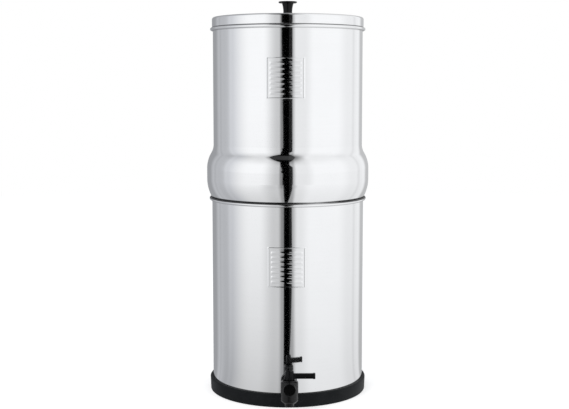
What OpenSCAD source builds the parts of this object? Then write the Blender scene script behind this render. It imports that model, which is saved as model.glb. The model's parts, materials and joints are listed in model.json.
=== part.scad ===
// Gravity water filter: two stacked steel chambers, a lid, two ceramic candles and a plastic lever tap.
// Millimetres. +Z is up, the tap points to -Y, and the origin is the middle of the ring's resting face.

/* [Lower chamber] */
// Outer diameter of the lower chamber's wall
lower_d = 216; // [200:1:240]
// Height of the lower chamber, from its underside to the top of its rim
lower_h = 271.3; // [200:0.1:330]
// Radius of the pressed corner between wall and floor
floor_corner_r = 6; // [3:0.5:10]

/* [Sheet steel] */
// Thickness of the sheet steel
sheet_t = 0.8; // [0.6:0.1:1]
// Diameter of the rolled bead round each rim
bead_d = 4.6; // [4:0.1:6]
// Bend radius, outside, of the tight folds
fold_r = 1.2; // [1.1:0.1:1.8]

/* [Upper chamber] */
// Gap all round by which the upper wall clears the inside of the lower one, so that the chambers nest
nest_gap = 1.5; // [0.8:0.1:3]
// Height of the upper chamber, from its underside to the top of its rim
upper_h = 249.6; // [200:0.1:320]
// Depth that the upper chamber reaches into the lower one
register_depth = 11.4; // [8:0.1:16]
// Radius of the register's bottom corner
register_corner_r = 3; // [1.2:0.1:5]
// Gap all round between the register and the lower wall
register_gap = 1; // [0.4:0.1:2]
// How far the bulged foot stands out from the straight wall
bulge_out = 9.4; // [8:0.1:14]
// Width of the flat between the two folds that stand on the lower rim
seat_w = 0.64; // [0.2:0.02:1.5]
// Height of the lower curve above the seat
belly_low_h = 25.6; // [20:0.1:28]
// Height of the straight band between the two curves
belly_band_h = 14.5; // [4:0.1:20]
// Radius of the bulge's upper curve
belly_high_r = 43; // [36:0.5:68]
// Radius of the hollow curve that runs into the straight wall
neck_r = 24; // [16:0.5:32]

/* [Embossed panels] */
// Width of the raised plain panel on the front of each chamber
panel_w = 52; // [30:1:70]
// Height of the raised panel
panel_h = 55; // [30:1:70]
// Height of the relief
panel_relief = 0.6; // [0.3:0.1:1]
// Middle of the lower panel above the lower chamber's underside
lower_panel_z = 184.5; // [120:0.5:200]
// Angle by which the lower panel sits to the left of the tap
lower_panel_turn = 1.6; // [-10:0.1:10]
// Middle of the upper panel above the upper chamber's underside
upper_panel_z = 178.5; // [130:0.5:190]
// Angle by which the upper panel sits to the left of the tap
upper_panel_turn = 2.5; // [-10:0.1:10]

/* [Lid] */
// Height of the lid's skirt above the rim
lid_h = 14; // [10:0.1:20]
// How far the skirt's face stands in from the bead's crest
lid_setback = 0.3; // [0.1:0.1:0.8]
// Corner radius between the lid's skirt and its top
lid_corner_r = 3; // [2:0.2:6]
// Depth of the lid's plug below the rim
plug_depth = 11.6; // [8:0.1:18]
// Gap all round between the lid's plug and the upper wall
plug_gap = 0.9; // [0.5:0.1:1.5]
// Depth of the shallow step in the lid's top
lid_step = 0.8; // [0.5:0.1:2]
// Diameter of that step
lid_step_d = 174; // [120:1:190]

/* [Lid knob] */
// Height of the knob
knob_h = 24.1; // [18:0.1:32]
// Diameter of the knob's top
knob_d = 26; // [20:0.5:34]
// Diameter of the knob's waist
knob_waist_d = 12.6; // [11:0.2:16]
// Height of the waist above the lid
knob_waist_h = 8.8; // [7:0.2:11]
// How far the stem widens from the waist to the rim
knob_flare = 1.65; // [0.5:0.05:3]
// Thickness of the knob's rim
knob_rim_t = 3; // [2.6:0.1:4]
// Edge radius of the rim and of the corner under it
knob_edge_r = 1.2; // [0.5:0.1:1.3]
// Height of the shallow crown on the knob's top
knob_crown = 0.3; // [0.1:0.1:0.8]
// Diameter of the knob's foot
knob_foot_d = 18; // [17:0.5:24]
// Height of the foot's straight edge
knob_foot_h = 1.5; // [0.5:0.1:2]
// Radius of the curve between foot and waist
knob_root_r = 3; // [2:0.1:4]
// Diameter of the screw that holds the knob
knob_screw_d = 5; // [4:0.5:6]
// Depth that the screw reaches into the knob
knob_screw_reach = 12; // [8:0.5:14]
// Width of the screw's head outside its thread, all round
knob_head_out = 2.3; // [1.5:0.1:4]
// Height of the screw's head
knob_head_h = 3; // [2:0.1:3.4]
// Width of the slot in the screw's head
knob_slot_w = 1.2; // [0.6:0.1:1.6]
// Width of the washer outside the screw's thread, all round
knob_washer_out = 4.5; // [3:0.1:8]
// Thickness of that washer
knob_washer_t = 1; // [0.6:0.1:1.6]

/* [Base ring] */
// Height of the ledge that carries the lower chamber
ledge_h = 8; // [5:0.5:12]
// Width of the flat of that ledge, inside the chamber's wall
ledge_w = 10; // [8:0.5:20]
// Full height of the ring
ring_h = 18.8; // [16:0.1:28]
// Wall of the ring where it is widest
ring_wall = 4.2; // [3:0.1:6]
// How far the ring narrows towards its bottom
ring_draft = 0.7; // [0:0.1:1]
// Radius of the ring's bottom corner
ring_corner_r = 1.2; // [1:0.1:3]
// Radius of the ring's top corner
ring_top_r = 1.8; // [0.8:0.1:2]

/* [Filter candles] */
// Diameter of the ceramic shell
candle_d = 49.8; // [44:0.2:56]
// Height of the candle above its washer, mount included
candle_h = 178; // [120:1:190]
// Wall of the ceramic shell
candle_wall = 7; // [5:0.5:9]
// Radius of the shell's round shoulder
candle_shoulder_r = 15; // [9:0.5:20]
// Height of the low crown above the shoulder
candle_crown = 2; // [1:0.1:4]
// Gap all round between the carbon core and the shell
core_gap = 1.4; // [0.5:0.1:4]
// Space left above the core
core_headroom = 26; // [8:1:80]
// Thickness of the core above its bore
core_cap = 10; // [5:0.5:20]
// Thickness of the mount's floor
mount_floor = 5; // [4:0.5:8]
// Height of the mount's rim
mount_h = 14; // [10:0.5:20]
// Wall of the mount's rim
mount_wall = 1.6; // [1.2:0.1:2.4]
// Distance of the candle holes from the chamber's axis
hole_ring_r = 55; // [50:0.5:60]
// Diameter of the threaded stems that pass through the floor
stem_d = 12; // [10:0.5:13]
// Bore of the candle stems
stem_bore = 5; // [3:0.5:6]
// Length of a stem below the floor
stem_drop = 33; // [20:1:36]
// Length of a blanking plug's stem below the floor
blank_drop = 16.5; // [10:0.5:30]
// Diameter of the sealing washers
seal_d = 21; // [18:0.5:26]
// Thickness of the sealing washers
seal_t = 2.2; // [1.5:0.1:3]
// Diameter of a blanking plug's head
blank_d = 24; // [20:0.5:30]
// Thickness of a blanking plug's head
blank_head_t = 4; // [3:0.5:6]
// Diameter of a wing nut's hub
wing_hub_d = 18; // [16.5:0.5:22]
// Height of a wing nut
wing_h = 9; // [7:0.5:12]
// Span of a wing nut across its wings
wing_span = 38; // [30:1:42]
// Thickness of a wing
wing_t = 4; // [3:0.2:5]
// How far the wings stay below the hub's face
wing_set = 1; // [0.5:0.1:2]

/* [Tap] */
// Gap between the base ring's top and the tap's flange
tap_gap = 8.2; // [0.3:0.1:12]
// Distance from the chamber's wall to the valve's axis
tap_reach = 42; // [36:0.5:50]
// Diameter of the threaded shank
shank_d = 16; // [14:0.5:17]
// Bore of the shank
shank_bore = 8; // [6:0.2:9]
// How far the shank reaches past the inside of the wall
shank_reach = 19; // [15:0.5:24]
// Diameter of the tap's flange and washers
flange_d = 22; // [20:0.2:22.4]
// Thickness of the flange
flange_t = 2.6; // [2:0.1:4]
// Thickness of each rubber washer on the wall
washer_t = 2.4; // [1.8:0.1:3]
// Thickness of the nut
nut_t = 7; // [5:0.5:9]
// Width of the nut across its flats
nut_flats = 21; // [19.5:0.5:24]
// Diameter of the barrel
barrel_d = 23.6; // [23.6:0.2:27]
// Top of the barrel above the shank's axis
barrel_rise = 10.2; // [10.2:0.1:13]
// Foot of the barrel's straight side below the shank's axis
barrel_drop = 16; // [15:0.1:17]
// Radius of the barrel's shoulder
shoulder_r = 2.4; // [1:0.1:2.4]
// End of the nozzle below the shank's axis
nozzle_drop = 24.2; // [23:0.1:26]
// Radius of the corner under the barrel
foot_r = 1.6; // [0.8:0.1:2.4]
// Outer diameter of the nozzle
nozzle_d = 12.4; // [11.6:0.1:14]
// Bore of the nozzle
nozzle_bore = 9; // [7:0.1:9.4]
// Length of the nozzle's straight end
nozzle_tip = 3.2; // [2:0.1:4]
// Diameter of the round recess in the boss on the barrel's front
boss_recess_d = 14.6; // [10:0.2:15]
// Wall of the boss round that recess
boss_wall = 1.2; // [0.8:0.1:1.6]
// Height of the boss's middle above the shank's axis
boss_rise = 0.7; // [-5:0.1:1]
// How far the boss stands proud of the barrel
boss_proud = 0.5; // [0.2:0.1:1]
// Depth of the recess
boss_recess = 1.1; // [0.5:0.1:1.4]
// Thickness of the gusset under the neck
gusset_t = 3; // [2:0.2:5]
// Drop of the gusset below the shank's axis, at the flange
gusset_drop = 8.8; // [8.2:0.1:9.8]

/* [Tap valve] */
// Diameter of the turning plug
valve_d = 15.9; // [15:0.1:16.6]
// Bore of the plug's ports
port_d = 8; // [6:0.2:8.4]
// Diameter of the stem above the plug
valve_stem_d = 8.4; // [7:0.1:9]
// Bottom of the plug below the shank's axis
valve_drop = 13.7; // [13:0.1:14.4]
// Shoulder of the plug above the shank's axis
valve_rise = 7.2; // [7.2:0.1:7.8]
// Width of an O-ring groove
groove_w = 1.8; // [1.4:0.1:2]
// Depth of an O-ring groove
groove_depth = 1.3; // [0.9:0.1:1.6]
// Width of the gland's thread outside the barrel's bore, all round
gland_out = 0.6; // [0.3:0.1:1.2]
// Width of the gland's collar outside its thread, all round
gland_collar_out = 0.8; // [0.5:0.1:2]
// Thickness of the gland's collar
gland_collar_t = 1.5; // [1:0.1:2.4]
// Height of the lever's hub
hub_h = 12; // [10:0.5:15]
// Diameter of the hub at its foot
hub_low_d = 14.6; // [14:0.2:17]
// Diameter of the hub at its top
hub_high_d = 11; // [10.6:0.2:13]
// Thickness of the hub above the valve's stem
hub_cap = 3; // [2:0.1:5]
// Number of grooves round the hub
hub_grooves = 12; // [8:1:16]
// Diameter of a groove's cutter
hub_groove_d = 1.8; // [1:0.1:2.4]
// Length of the lever, from the valve's axis to its tip
lever_len = 34.3; // [26:0.1:42]
// Height of the lever's bar
lever_h = 7; // [5:0.1:8]
// Thickness of the lever's bar
lever_t = 4.6; // [3.6:0.1:6]
// Bottom of the bar above the foot of the hub
lever_lift = 1.2; // [0.6:0.1:3]
// Border left round the hollow in each face of the bar
lever_rim = 1.3; // [1:0.1:1.8]
// Depth of that hollow
lever_hollow = 0.9; // [0.4:0.1:1.2]
// Length of the thumb pad at the tip
pad_len = 3.4; // [2:0.1:6]
// How far the pad stands proud of the bar
pad_proud = 0.4; // [0.2:0.1:0.8]

/* [Clearances] */
// Height that stacked rims are held apart
stack_gap = 0.1; // [0.05:0.05:0.3]
// Gap between pieces of one body that fit together
fit_gap = 0.05; // [0.02:0.01:0.1]
// Radial running clearance of what turns
run_gap = 0.05; // [0.02:0.01:0.1]
// Gap at the ends of what turns
end_gap = 0.3; // [0.2:0.05:0.5]
// Radial clearance of a stem in its hole in the sheet
hole_gap = 0.4; // [0.2:0.05:0.6]
// Radial gap between the rubber ring and the wall
ring_gap = 0.1; // [0.05:0.05:0.3]

/* [Hidden] */
STATIONS = ["left", "right", "front", "back"];
STATION_ANGLE = [180, 0, 270, 90];
CANDLES = [0, 1];
BLANKS = [2, 3];

LID_NODES = ["lid_pan", "lid_knob", "knob_washer", "knob_screw"];
CANDLE_NODES = ["candle_shell", "candle_core", "candle_mount", "candle_washer", "candle_nut"];
BLANK_NODES = ["blank_plug", "blank_washer", "blank_nut"];
BASE_NODES = ["lower_chamber", "base_ring"];
TAP_NODES = ["tap_body", "tap_gland", "tap_outer_washer", "tap_inner_washer", "tap_nut"];
VALVE_NODES = ["tap_plug", "tap_plug_seals", "tap_lever"];

$fn = 96;
ARC = 8; // steps in a quarter of a tight fold
CURVE = 14; // steps in a long curve
SMOOTH = 480; // sides of a large cylinder that trims a small piece
PAST = 1; // how far a cut runs past the face that it opens

bead_r = bead_d / 2;
// A curl that wraps outwards from a wall has its middle this far outside the wall
curl_out = bead_r - sheet_t;
// The curl stops short of the wall, so that the roll stays open underneath
CURL_END = -125;

// Levels of the lower chamber
lower_r = lower_d / 2;
lower_z = ledge_h;
lower_rim_z = lower_z + lower_h;
lower_in_r = lower_r - sheet_t;

// Levels and radii of the upper chamber
upper_r = lower_in_r - nest_gap;
upper_in_r = upper_r - sheet_t;
register_r = lower_in_r - register_gap;
seat_z = lower_rim_z + stack_gap;
upper_z = seat_z - register_depth;
upper_rim_z = upper_z + upper_h;
upper_floor_z = upper_z + sheet_t;
bulge_r = upper_r + bulge_out;
belly_low_z = seat_z + belly_low_h;
belly_high_z = belly_low_z + belly_band_h;
// The bulge's lower curve touches the fold under it and is upright where the bulge is widest
fold_c = [register_r + fold_r + seat_w, seat_z + fold_r];
fold_in = bulge_r - fold_c[0];
fold_rise = belly_low_h - fold_r;
belly_low_r = (pow(fold_in, 2) + pow(fold_rise, 2) - pow(fold_r, 2)) / (2 * (fold_in - fold_r));
fold_angle = asin(fold_rise / (belly_low_r - fold_r));
// The neck curve touches the upper curve from outside, and then the wall
neck_reach = upper_r + neck_r - (bulge_r - belly_high_r);
neck_rise = sqrt(pow(belly_high_r + neck_r, 2) - pow(neck_reach, 2));
neck_c = [upper_r + neck_r, belly_high_z + neck_rise];
neck_angle = atan2(neck_rise, neck_reach);

// Lid
lid_seat_z = upper_rim_z + stack_gap;
lid_top_z = lid_seat_z + lid_h;
lid_r = upper_r + curl_out - lid_setback;
lid_plug_r = upper_in_r - plug_gap;
lid_step_z = lid_top_z - lid_step;
lid_step_slope = 2 * lid_step;
// The two folds of the lid's ledge share the width between skirt and plug
lid_fold_r = min(fold_r, (lid_r - lid_plug_r) / 2);
knob_hole_r = knob_screw_d / 2 + hole_gap;
knob_washer_d = knob_screw_d + 2 * knob_washer_out;
knob_head_d = knob_screw_d + 2 * knob_head_out;

// Base ring
ring_r = lower_r + ring_gap + ring_wall;

// Candles and the holes in the upper floor
stem_r = stem_d / 2;
floor_hole_r = stem_r + hole_gap;
mount_z = upper_floor_z + seal_t;
stem_end_z = upper_z - stem_drop;
blank_end_z = upper_z - blank_drop;
shell_z = mount_z + mount_floor;
shell_r = candle_d / 2;
shell_h = candle_h - mount_floor;
shell_in_r = shell_r - candle_wall;
shell_in_h = shell_h - candle_wall;

// Tap
shank_z = ring_h + tap_gap + flange_d / 2;
valve_y = lower_r + tap_reach;
shank_r = shank_d / 2;
// The nut's face lies behind the flat side of the inner washer, whose rim reaches the wall
nut_y = sqrt(pow(lower_in_r, 2) - pow(flange_d / 2, 2)) - washer_t;
barrel_r = barrel_d / 2;
barrel_top = shank_z + barrel_rise;
valve_r = valve_d / 2;
valve_bottom = shank_z - valve_drop;
valve_top = shank_z + valve_rise;
bore_r = valve_r + run_gap;
bore_floor = valve_bottom - end_gap;
gland_r = bore_r + gland_out;
gland_z = valve_top + end_gap;
gland_top = barrel_top + gland_collar_t;
valve_stem_r = valve_stem_d / 2;
hub_z = gland_top + end_gap;
stem_top = hub_z + hub_h - hub_cap;
// Middles of the two O-ring grooves, halfway along what is left of the plug beside the port
upper_seal_z = (shank_z + port_d / 2 + valve_top) / 2;
lower_seal_z = (shank_z - port_d / 2 + valve_bottom) / 2;

// Points on an arc in the half-plane [radius, height], from angle a0 to a1
function arc(c, r, a0, a1, n = ARC) = [
    for (i = [0:n]) let (a = a0 + (a1 - a0) * i / n) c + r * [cos(a), sin(a)]];

// A rim rolled outwards: up the wall, round the bead and back to the inside of the wall
function curl(wall_r, rim_z) = let (c = [wall_r + curl_out, rim_z - bead_r]) concat(
    arc(c, curl_out, 180, CURL_END, 2 * ARC), arc(c, bead_r, CURL_END, 180, 2 * ARC));

// A pressed bottom corner on the outside, and the same corner on the inside of the sheet
function corner_out(r, z, c) = arc([r - c, z + c], c, -90, 0);
function corner_in(r, z, c) = arc([r - c, z + c], c - sheet_t, 0, -90);

module spin(points) { rotate_extrude() polygon(points); }

module at_station(i) { rotate([0, 0, STATION_ANGLE[i]]) translate([hole_ring_r, 0, 0]) children(); }

// Cylinder along Y, from depth y0 to y1 in front of the axis, at height z
module along_y(r, y0, y1, z) { translate([0, -y0, z]) rotate([90, 0, 0]) cylinder(r = r, h = y1 - y0); }

// A flat washer that stands on z = 0
module washer(d, bore, t) {
    difference() {
        cylinder(d = d, h = t);
        translate([0, 0, -PAST]) cylinder(d = bore, h = t + 2 * PAST);
    }
}

// A plain raised panel, pressed outwards in a wall of radius r, with its middle at height z
// and turned to the left of the tap by an angle
module panel_block(grow) { translate([-panel_w / 2 - grow, -bulge_r - PAST, -panel_h / 2 - grow])
    cube([panel_w + 2 * grow, bulge_r, panel_h + 2 * grow]); }
module panel_tube(r) { translate([0, 0, -panel_h]) cylinder(r = r, h = 2 * panel_h); }
module pressed_panel(r, z, turn) {
    difference() {
        union() {
            children();
            rotate([0, 0, -turn]) translate([0, 0, z]) intersection() {
                difference() {
                    panel_tube(r + panel_relief);
                    panel_tube(r - sheet_t / 2);
                }
                panel_block(0);
            }
        }
        rotate([0, 0, -turn]) translate([0, 0, z]) intersection() {
            panel_tube(r + panel_relief - sheet_t);
            panel_block(-sheet_t);
            translate([-bulge_r, -bulge_r, -panel_h]) cube([2 * bulge_r, bulge_r / 2, 2 * panel_h]);
        }
    }
}

module lower_chamber() {
    color("silver") difference() {
        pressed_panel(lower_r, lower_z + lower_panel_z, lower_panel_turn) spin(concat(
            [[0, lower_z]],
            corner_out(lower_r, lower_z, floor_corner_r),
            curl(lower_r, lower_rim_z),
            corner_in(lower_r, lower_z, floor_corner_r),
            [[0, lower_z + sheet_t]]));
        along_y(shank_r + hole_gap, lower_r - flange_d / 2, lower_r + flange_d / 2, shank_z);
    }
}

module base_ring() {
    inner = lower_r - floor_corner_r - ledge_w;
    wall = lower_r + ring_gap;
    foot = ring_r - ring_draft;
    color("#1c1f22") spin(concat(
        [[inner, 0]],
        arc([foot - ring_corner_r, ring_corner_r], ring_corner_r, -90, 0),
        arc([ring_r - ring_top_r, ring_h - ring_top_r], ring_top_r, 0, 90),
        [[wall, ring_h], [wall, ledge_h], [inner, ledge_h]]));
}

module upper_chamber() {
    seat_fillet = [register_r + fold_r, seat_z - fold_r];
    low_c = [bulge_r - belly_low_r, belly_low_z];
    high_c = [bulge_r - belly_high_r, belly_high_z];
    color("silver") difference() {
        pressed_panel(upper_r, upper_z + upper_panel_z, upper_panel_turn) spin(concat(
            [[0, upper_z]],
            corner_out(register_r, upper_z, register_corner_r),
            arc(seat_fillet, fold_r, 180, 90),
            arc(fold_c, fold_r, -90, -fold_angle),
            arc(low_c, belly_low_r, -fold_angle, 0, CURVE),
            arc(high_c, belly_high_r, 0, neck_angle, CURVE),
            arc(neck_c, neck_r, 180 + neck_angle, 180, CURVE),
            curl(upper_r, upper_rim_z),
            arc(neck_c, neck_r + sheet_t, 180, 180 + neck_angle, CURVE),
            arc(high_c, belly_high_r - sheet_t, neck_angle, 0, CURVE),
            arc(low_c, belly_low_r - sheet_t, 0, -fold_angle, CURVE),
            arc(fold_c, fold_r - sheet_t, -fold_angle, -90),
            arc(seat_fillet, fold_r + sheet_t, 90, 180),
            corner_in(register_r, upper_z, register_corner_r),
            [[0, upper_floor_z]]));
        for (i = [0:len(STATIONS) - 1])
            at_station(i) translate([0, 0, upper_z - PAST])
                cylinder(r = floor_hole_r, h = sheet_t + 2 * PAST);
    }
}

module lid_pan() {
    step_r = lid_step_d / 2;
    top_c = [lid_r - lid_corner_r, lid_top_z - lid_corner_r];
    skirt_fold = [lid_r - lid_fold_r, lid_seat_z + lid_fold_r];
    plug_fold = [lid_plug_r + lid_fold_r, lid_seat_z - lid_fold_r];
    plug_z = upper_rim_z - plug_depth;
    color("silver") spin(concat(
        [[knob_hole_r, lid_step_z], [step_r - lid_step_slope, lid_step_z], [step_r, lid_top_z]],
        arc(top_c, lid_corner_r, 90, 0),
        arc(skirt_fold, lid_fold_r, 0, -90),
        arc(plug_fold, lid_fold_r, 90, 180),
        [[lid_plug_r, plug_z], [lid_plug_r - sheet_t, plug_z]],
        arc(plug_fold, lid_fold_r + sheet_t, 180, 90),
        arc(skirt_fold, lid_fold_r - sheet_t, -90, 0),
        arc(top_c, lid_corner_r - sheet_t, 0, 90),
        [[step_r, lid_top_z - sheet_t], [step_r - lid_step_slope, lid_step_z - sheet_t],
         [knob_hole_r, lid_step_z - sheet_t]]));
}

// Trumpet: foot, waist, a flare that is upright at the waist, and a thick rim with a low crown
module lid_knob() {
    waist_r = knob_waist_d / 2;
    rim_r = knob_d / 2;
    foot_r = knob_foot_d / 2;
    rim_z = knob_h - knob_rim_t;
    flare_h = rim_z - knob_edge_r - knob_waist_h;
    flare_r = (pow(flare_h, 2) + pow(knob_flare, 2)) / (2 * knob_flare);
    flare_angle = asin(flare_h / flare_r);
    root_z = knob_waist_h - knob_foot_h;
    root_angle = 60; // how far the curve turns from upright towards the foot
    throat_r = waist_r + knob_flare;
    rim_angle = 60; // where the rim's edge runs into the crown
    color("#17181a") difference() {
        translate([0, 0, lid_step_z]) spin(concat(
            [[0, 0], [foot_r, 0], [foot_r, knob_foot_h]],
            arc([waist_r + knob_root_r, root_z], knob_root_r, 180 + root_angle, 180),
            arc([waist_r + flare_r, knob_waist_h], flare_r, 180, 180 - flare_angle),
            arc([throat_r + knob_edge_r, rim_z - knob_edge_r], knob_edge_r, 180 - flare_angle, 90),
            arc([rim_r - knob_edge_r, rim_z + knob_edge_r], knob_edge_r, -90, rim_angle),
            [[rim_r / 2, knob_h - knob_crown], [0, knob_h]]));
        translate([0, 0, lid_step_z - PAST])
            cylinder(r = knob_screw_d / 2 + fit_gap, h = knob_screw_reach + 2 * PAST);
    }
}

module knob_washer() {
    color("silver") translate([0, 0, lid_step_z - sheet_t - knob_washer_t])
        washer(knob_washer_d, knob_screw_d + 2 * hole_gap, knob_washer_t);
}

module knob_screw() {
    head_z = lid_step_z - sheet_t - knob_washer_t - knob_head_h;
    color("silver") difference() {
        translate([0, 0, head_z]) {
            cylinder(d = knob_head_d, h = knob_head_h);
            cylinder(d = knob_screw_d, h = lid_step_z + knob_screw_reach - head_z);
        }
        translate([-knob_head_d / 2 - PAST, -knob_slot_w / 2, head_z - PAST])
            cube([knob_head_d + 2 * PAST, knob_slot_w, knob_head_h / 3 + PAST]);
    }
}

// Hollow ceramic thimble with a round shoulder and a low crown
module candle_shell() {
    inner_shoulder_r = candle_shoulder_r - candle_wall;
    shoulder_z = shell_h - candle_crown - candle_shoulder_r;
    crown_angle = 80; // where the shoulder runs into the crown
    color("#f2efe6") translate([0, 0, shell_z]) spin(concat(
        [[shell_in_r, 0], [shell_r, 0]],
        arc([shell_r - candle_shoulder_r, shoulder_z], candle_shoulder_r, 0, crown_angle),
        [[0, shell_h], [0, shell_in_h]],
        arc([shell_r - candle_shoulder_r, shoulder_z], inner_shoulder_r, crown_angle, 0)));
}

module candle_core() {
    core_h = shell_in_h - core_headroom;
    color("#2b2b2b") translate([0, 0, shell_z]) difference() {
        cylinder(r = shell_in_r - core_gap, h = core_h);
        translate([0, 0, -PAST]) cylinder(d = stem_bore, h = core_h - core_cap + PAST);
    }
}

module candle_mount() {
    rim_r = shell_r + fit_gap + mount_wall;
    color("#e9eef2") difference() {
        union() {
            translate([0, 0, mount_z]) cylinder(r = rim_r, h = mount_h);
            translate([0, 0, stem_end_z]) cylinder(r = stem_r, h = mount_z - stem_end_z + PAST);
        }
        translate([0, 0, shell_z]) cylinder(r = shell_r + fit_gap, h = mount_h);
        translate([0, 0, stem_end_z - PAST]) cylinder(d = stem_bore, h = shell_z - stem_end_z + 2 * PAST);
    }
}

module seal_washer() {
    color("#d9d4c8") translate([0, 0, upper_floor_z]) washer(seal_d, stem_d + 2 * fit_gap, seal_t);
}

module wing_nut() {
    color("#e9eef2") translate([0, 0, upper_z - wing_h]) difference() {
        union() {
            cylinder(d = wing_hub_d, h = wing_h);
            translate([-wing_span / 2 + wing_t, -wing_t / 2, 0])
                cube([wing_span - 2 * wing_t, wing_t, wing_h - wing_set]);
            for (side = [-1, 1]) translate([side * (wing_span / 2 - wing_t), 0, 0])
                cylinder(r = wing_t, h = wing_h - wing_set);
        }
        translate([0, 0, -PAST]) cylinder(r = stem_r + fit_gap, h = wing_h + 2 * PAST);
    }
}

module blank_plug() {
    color("#e9eef2") {
        translate([0, 0, mount_z]) cylinder(d = blank_d, h = blank_head_t);
        translate([0, 0, blank_end_z]) cylinder(r = stem_r, h = mount_z - blank_end_z + PAST);
    }
}

// Barrel, neck, flange, threaded shank and nozzle in one moulding
module tap_body() {
    nozzle_z = shank_z - nozzle_drop;
    foot_z = shank_z - barrel_drop;
    flange_y = lower_r + washer_t;
    boss_y = valve_y + barrel_r + boss_proud;
    color("#1b1c1e") difference() {
        union() {
            translate([0, -valve_y, 0]) spin(concat(
                [[0, nozzle_z], [nozzle_d / 2, nozzle_z], [nozzle_d / 2, nozzle_z + nozzle_tip]],
                arc([barrel_r - foot_r, foot_z], foot_r, -45, 0),
                arc([barrel_r - shoulder_r, barrel_top - shoulder_r], shoulder_r, 0, 90),
                [[0, barrel_top]]));
            along_y(shank_r, lower_in_r - shank_reach, valve_y, shank_z);
            along_y(flange_d / 2, flange_y, flange_y + flange_t, shank_z);
            along_y(boss_recess_d / 2 + boss_wall, valve_y, boss_y, shank_z + boss_rise);
            translate([gusset_t / 2, 0, 0]) rotate([0, -90, 0]) linear_extrude(gusset_t) polygon([
                [shank_z, -flange_y - flange_t / 2], [shank_z - gusset_drop, -flange_y - flange_t / 2],
                [foot_z + foot_r, -valve_y + barrel_r / 2], [shank_z, -valve_y + barrel_r / 2]]);
        }
        along_y(boss_recess_d / 2, boss_y - boss_recess, boss_y + PAST, shank_z + boss_rise);
        along_y(shank_bore / 2, lower_in_r - shank_reach - PAST, valve_y, shank_z);
        translate([0, -valve_y, bore_floor]) cylinder(r = bore_r, h = barrel_top - bore_floor + PAST);
        translate([0, -valve_y, gland_z]) cylinder(r = gland_r + fit_gap, h = barrel_top - gland_z + PAST);
        translate([0, -valve_y, nozzle_z - PAST])
            cylinder(d = nozzle_bore, h = bore_floor - nozzle_z + 2 * PAST);
    }
}

module tap_gland() {
    color("#101112") translate([0, -valve_y, 0]) difference() {
        union() {
            translate([0, 0, gland_z]) cylinder(r = gland_r, h = barrel_top - gland_z + gland_collar_t / 2);
            translate([0, 0, barrel_top]) cylinder(r = gland_r + gland_collar_out, h = gland_collar_t);
        }
        translate([0, 0, gland_z - PAST])
            cylinder(r = valve_stem_r + run_gap, h = gland_top - gland_z + 2 * PAST);
    }
}

// The outer washer takes the wall's curve on its inner face
module tap_outer_washer() {
    color("#26282a") difference() {
        along_y(flange_d / 2, lower_r - flange_d / 2, lower_r + washer_t, shank_z);
        along_y(shank_r + fit_gap, lower_r - flange_d, lower_r + flange_d, shank_z);
        cylinder(r = lower_r + fit_gap, h = shank_z + flange_d, $fn = SMOOTH);
    }
}

module tap_inner_washer() {
    color("#26282a") difference() {
        intersection() {
            along_y(flange_d / 2, nut_y, lower_in_r + flange_d, shank_z);
            cylinder(r = lower_in_r - fit_gap, h = shank_z + flange_d, $fn = SMOOTH);
        }
        along_y(shank_r + fit_gap, lower_in_r - flange_d, lower_in_r + flange_d, shank_z);
    }
}

module tap_nut() {
    color("#1b1c1e") translate([0, -nut_y, shank_z]) rotate([-90, 0, 0]) difference() {
        cylinder(d = nut_flats / cos(30), h = nut_t, $fn = 6);
        translate([0, 0, -PAST]) cylinder(r = shank_r + fit_gap, h = nut_t + 2 * PAST);
    }
}

// Groove or O-ring section round the plug at height z
module seal_ring(z, w, depth) {
    translate([0, 0, z - w / 2]) difference() {
        cylinder(r = valve_r + run_gap / 2, h = w);
        translate([0, 0, -PAST]) cylinder(r = valve_r - depth, h = w + 2 * PAST);
    }
}

// The port faces away from the lever, and meets the shank's bore when the lever points to the front
module tap_plug() {
    color("#2a2b2d") translate([0, -valve_y, 0]) difference() {
        union() {
            translate([0, 0, valve_bottom]) cylinder(r = valve_r, h = valve_top - valve_bottom);
            translate([0, 0, valve_top]) cylinder(r = valve_stem_r, h = stem_top - valve_top);
        }
        for (z = [upper_seal_z, lower_seal_z]) translate([0, 0, z - groove_w / 2]) difference() {
            cylinder(r = valve_r + PAST, h = groove_w);
            translate([0, 0, -PAST]) cylinder(r = valve_r - groove_depth, h = groove_w + 2 * PAST);
        }
        translate([0, 0, valve_bottom - PAST]) cylinder(d = port_d, h = valve_drop + PAST);
        translate([0, 0, shank_z]) rotate([0, -90, 0]) cylinder(d = port_d, h = valve_r + PAST);
    }
}

module tap_plug_seals() {
    color("#3a3a3a") translate([0, -valve_y, 0]) for (z = [upper_seal_z, lower_seal_z])
        seal_ring(z, groove_w - 2 * fit_gap, groove_depth - fit_gap);
}

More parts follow.
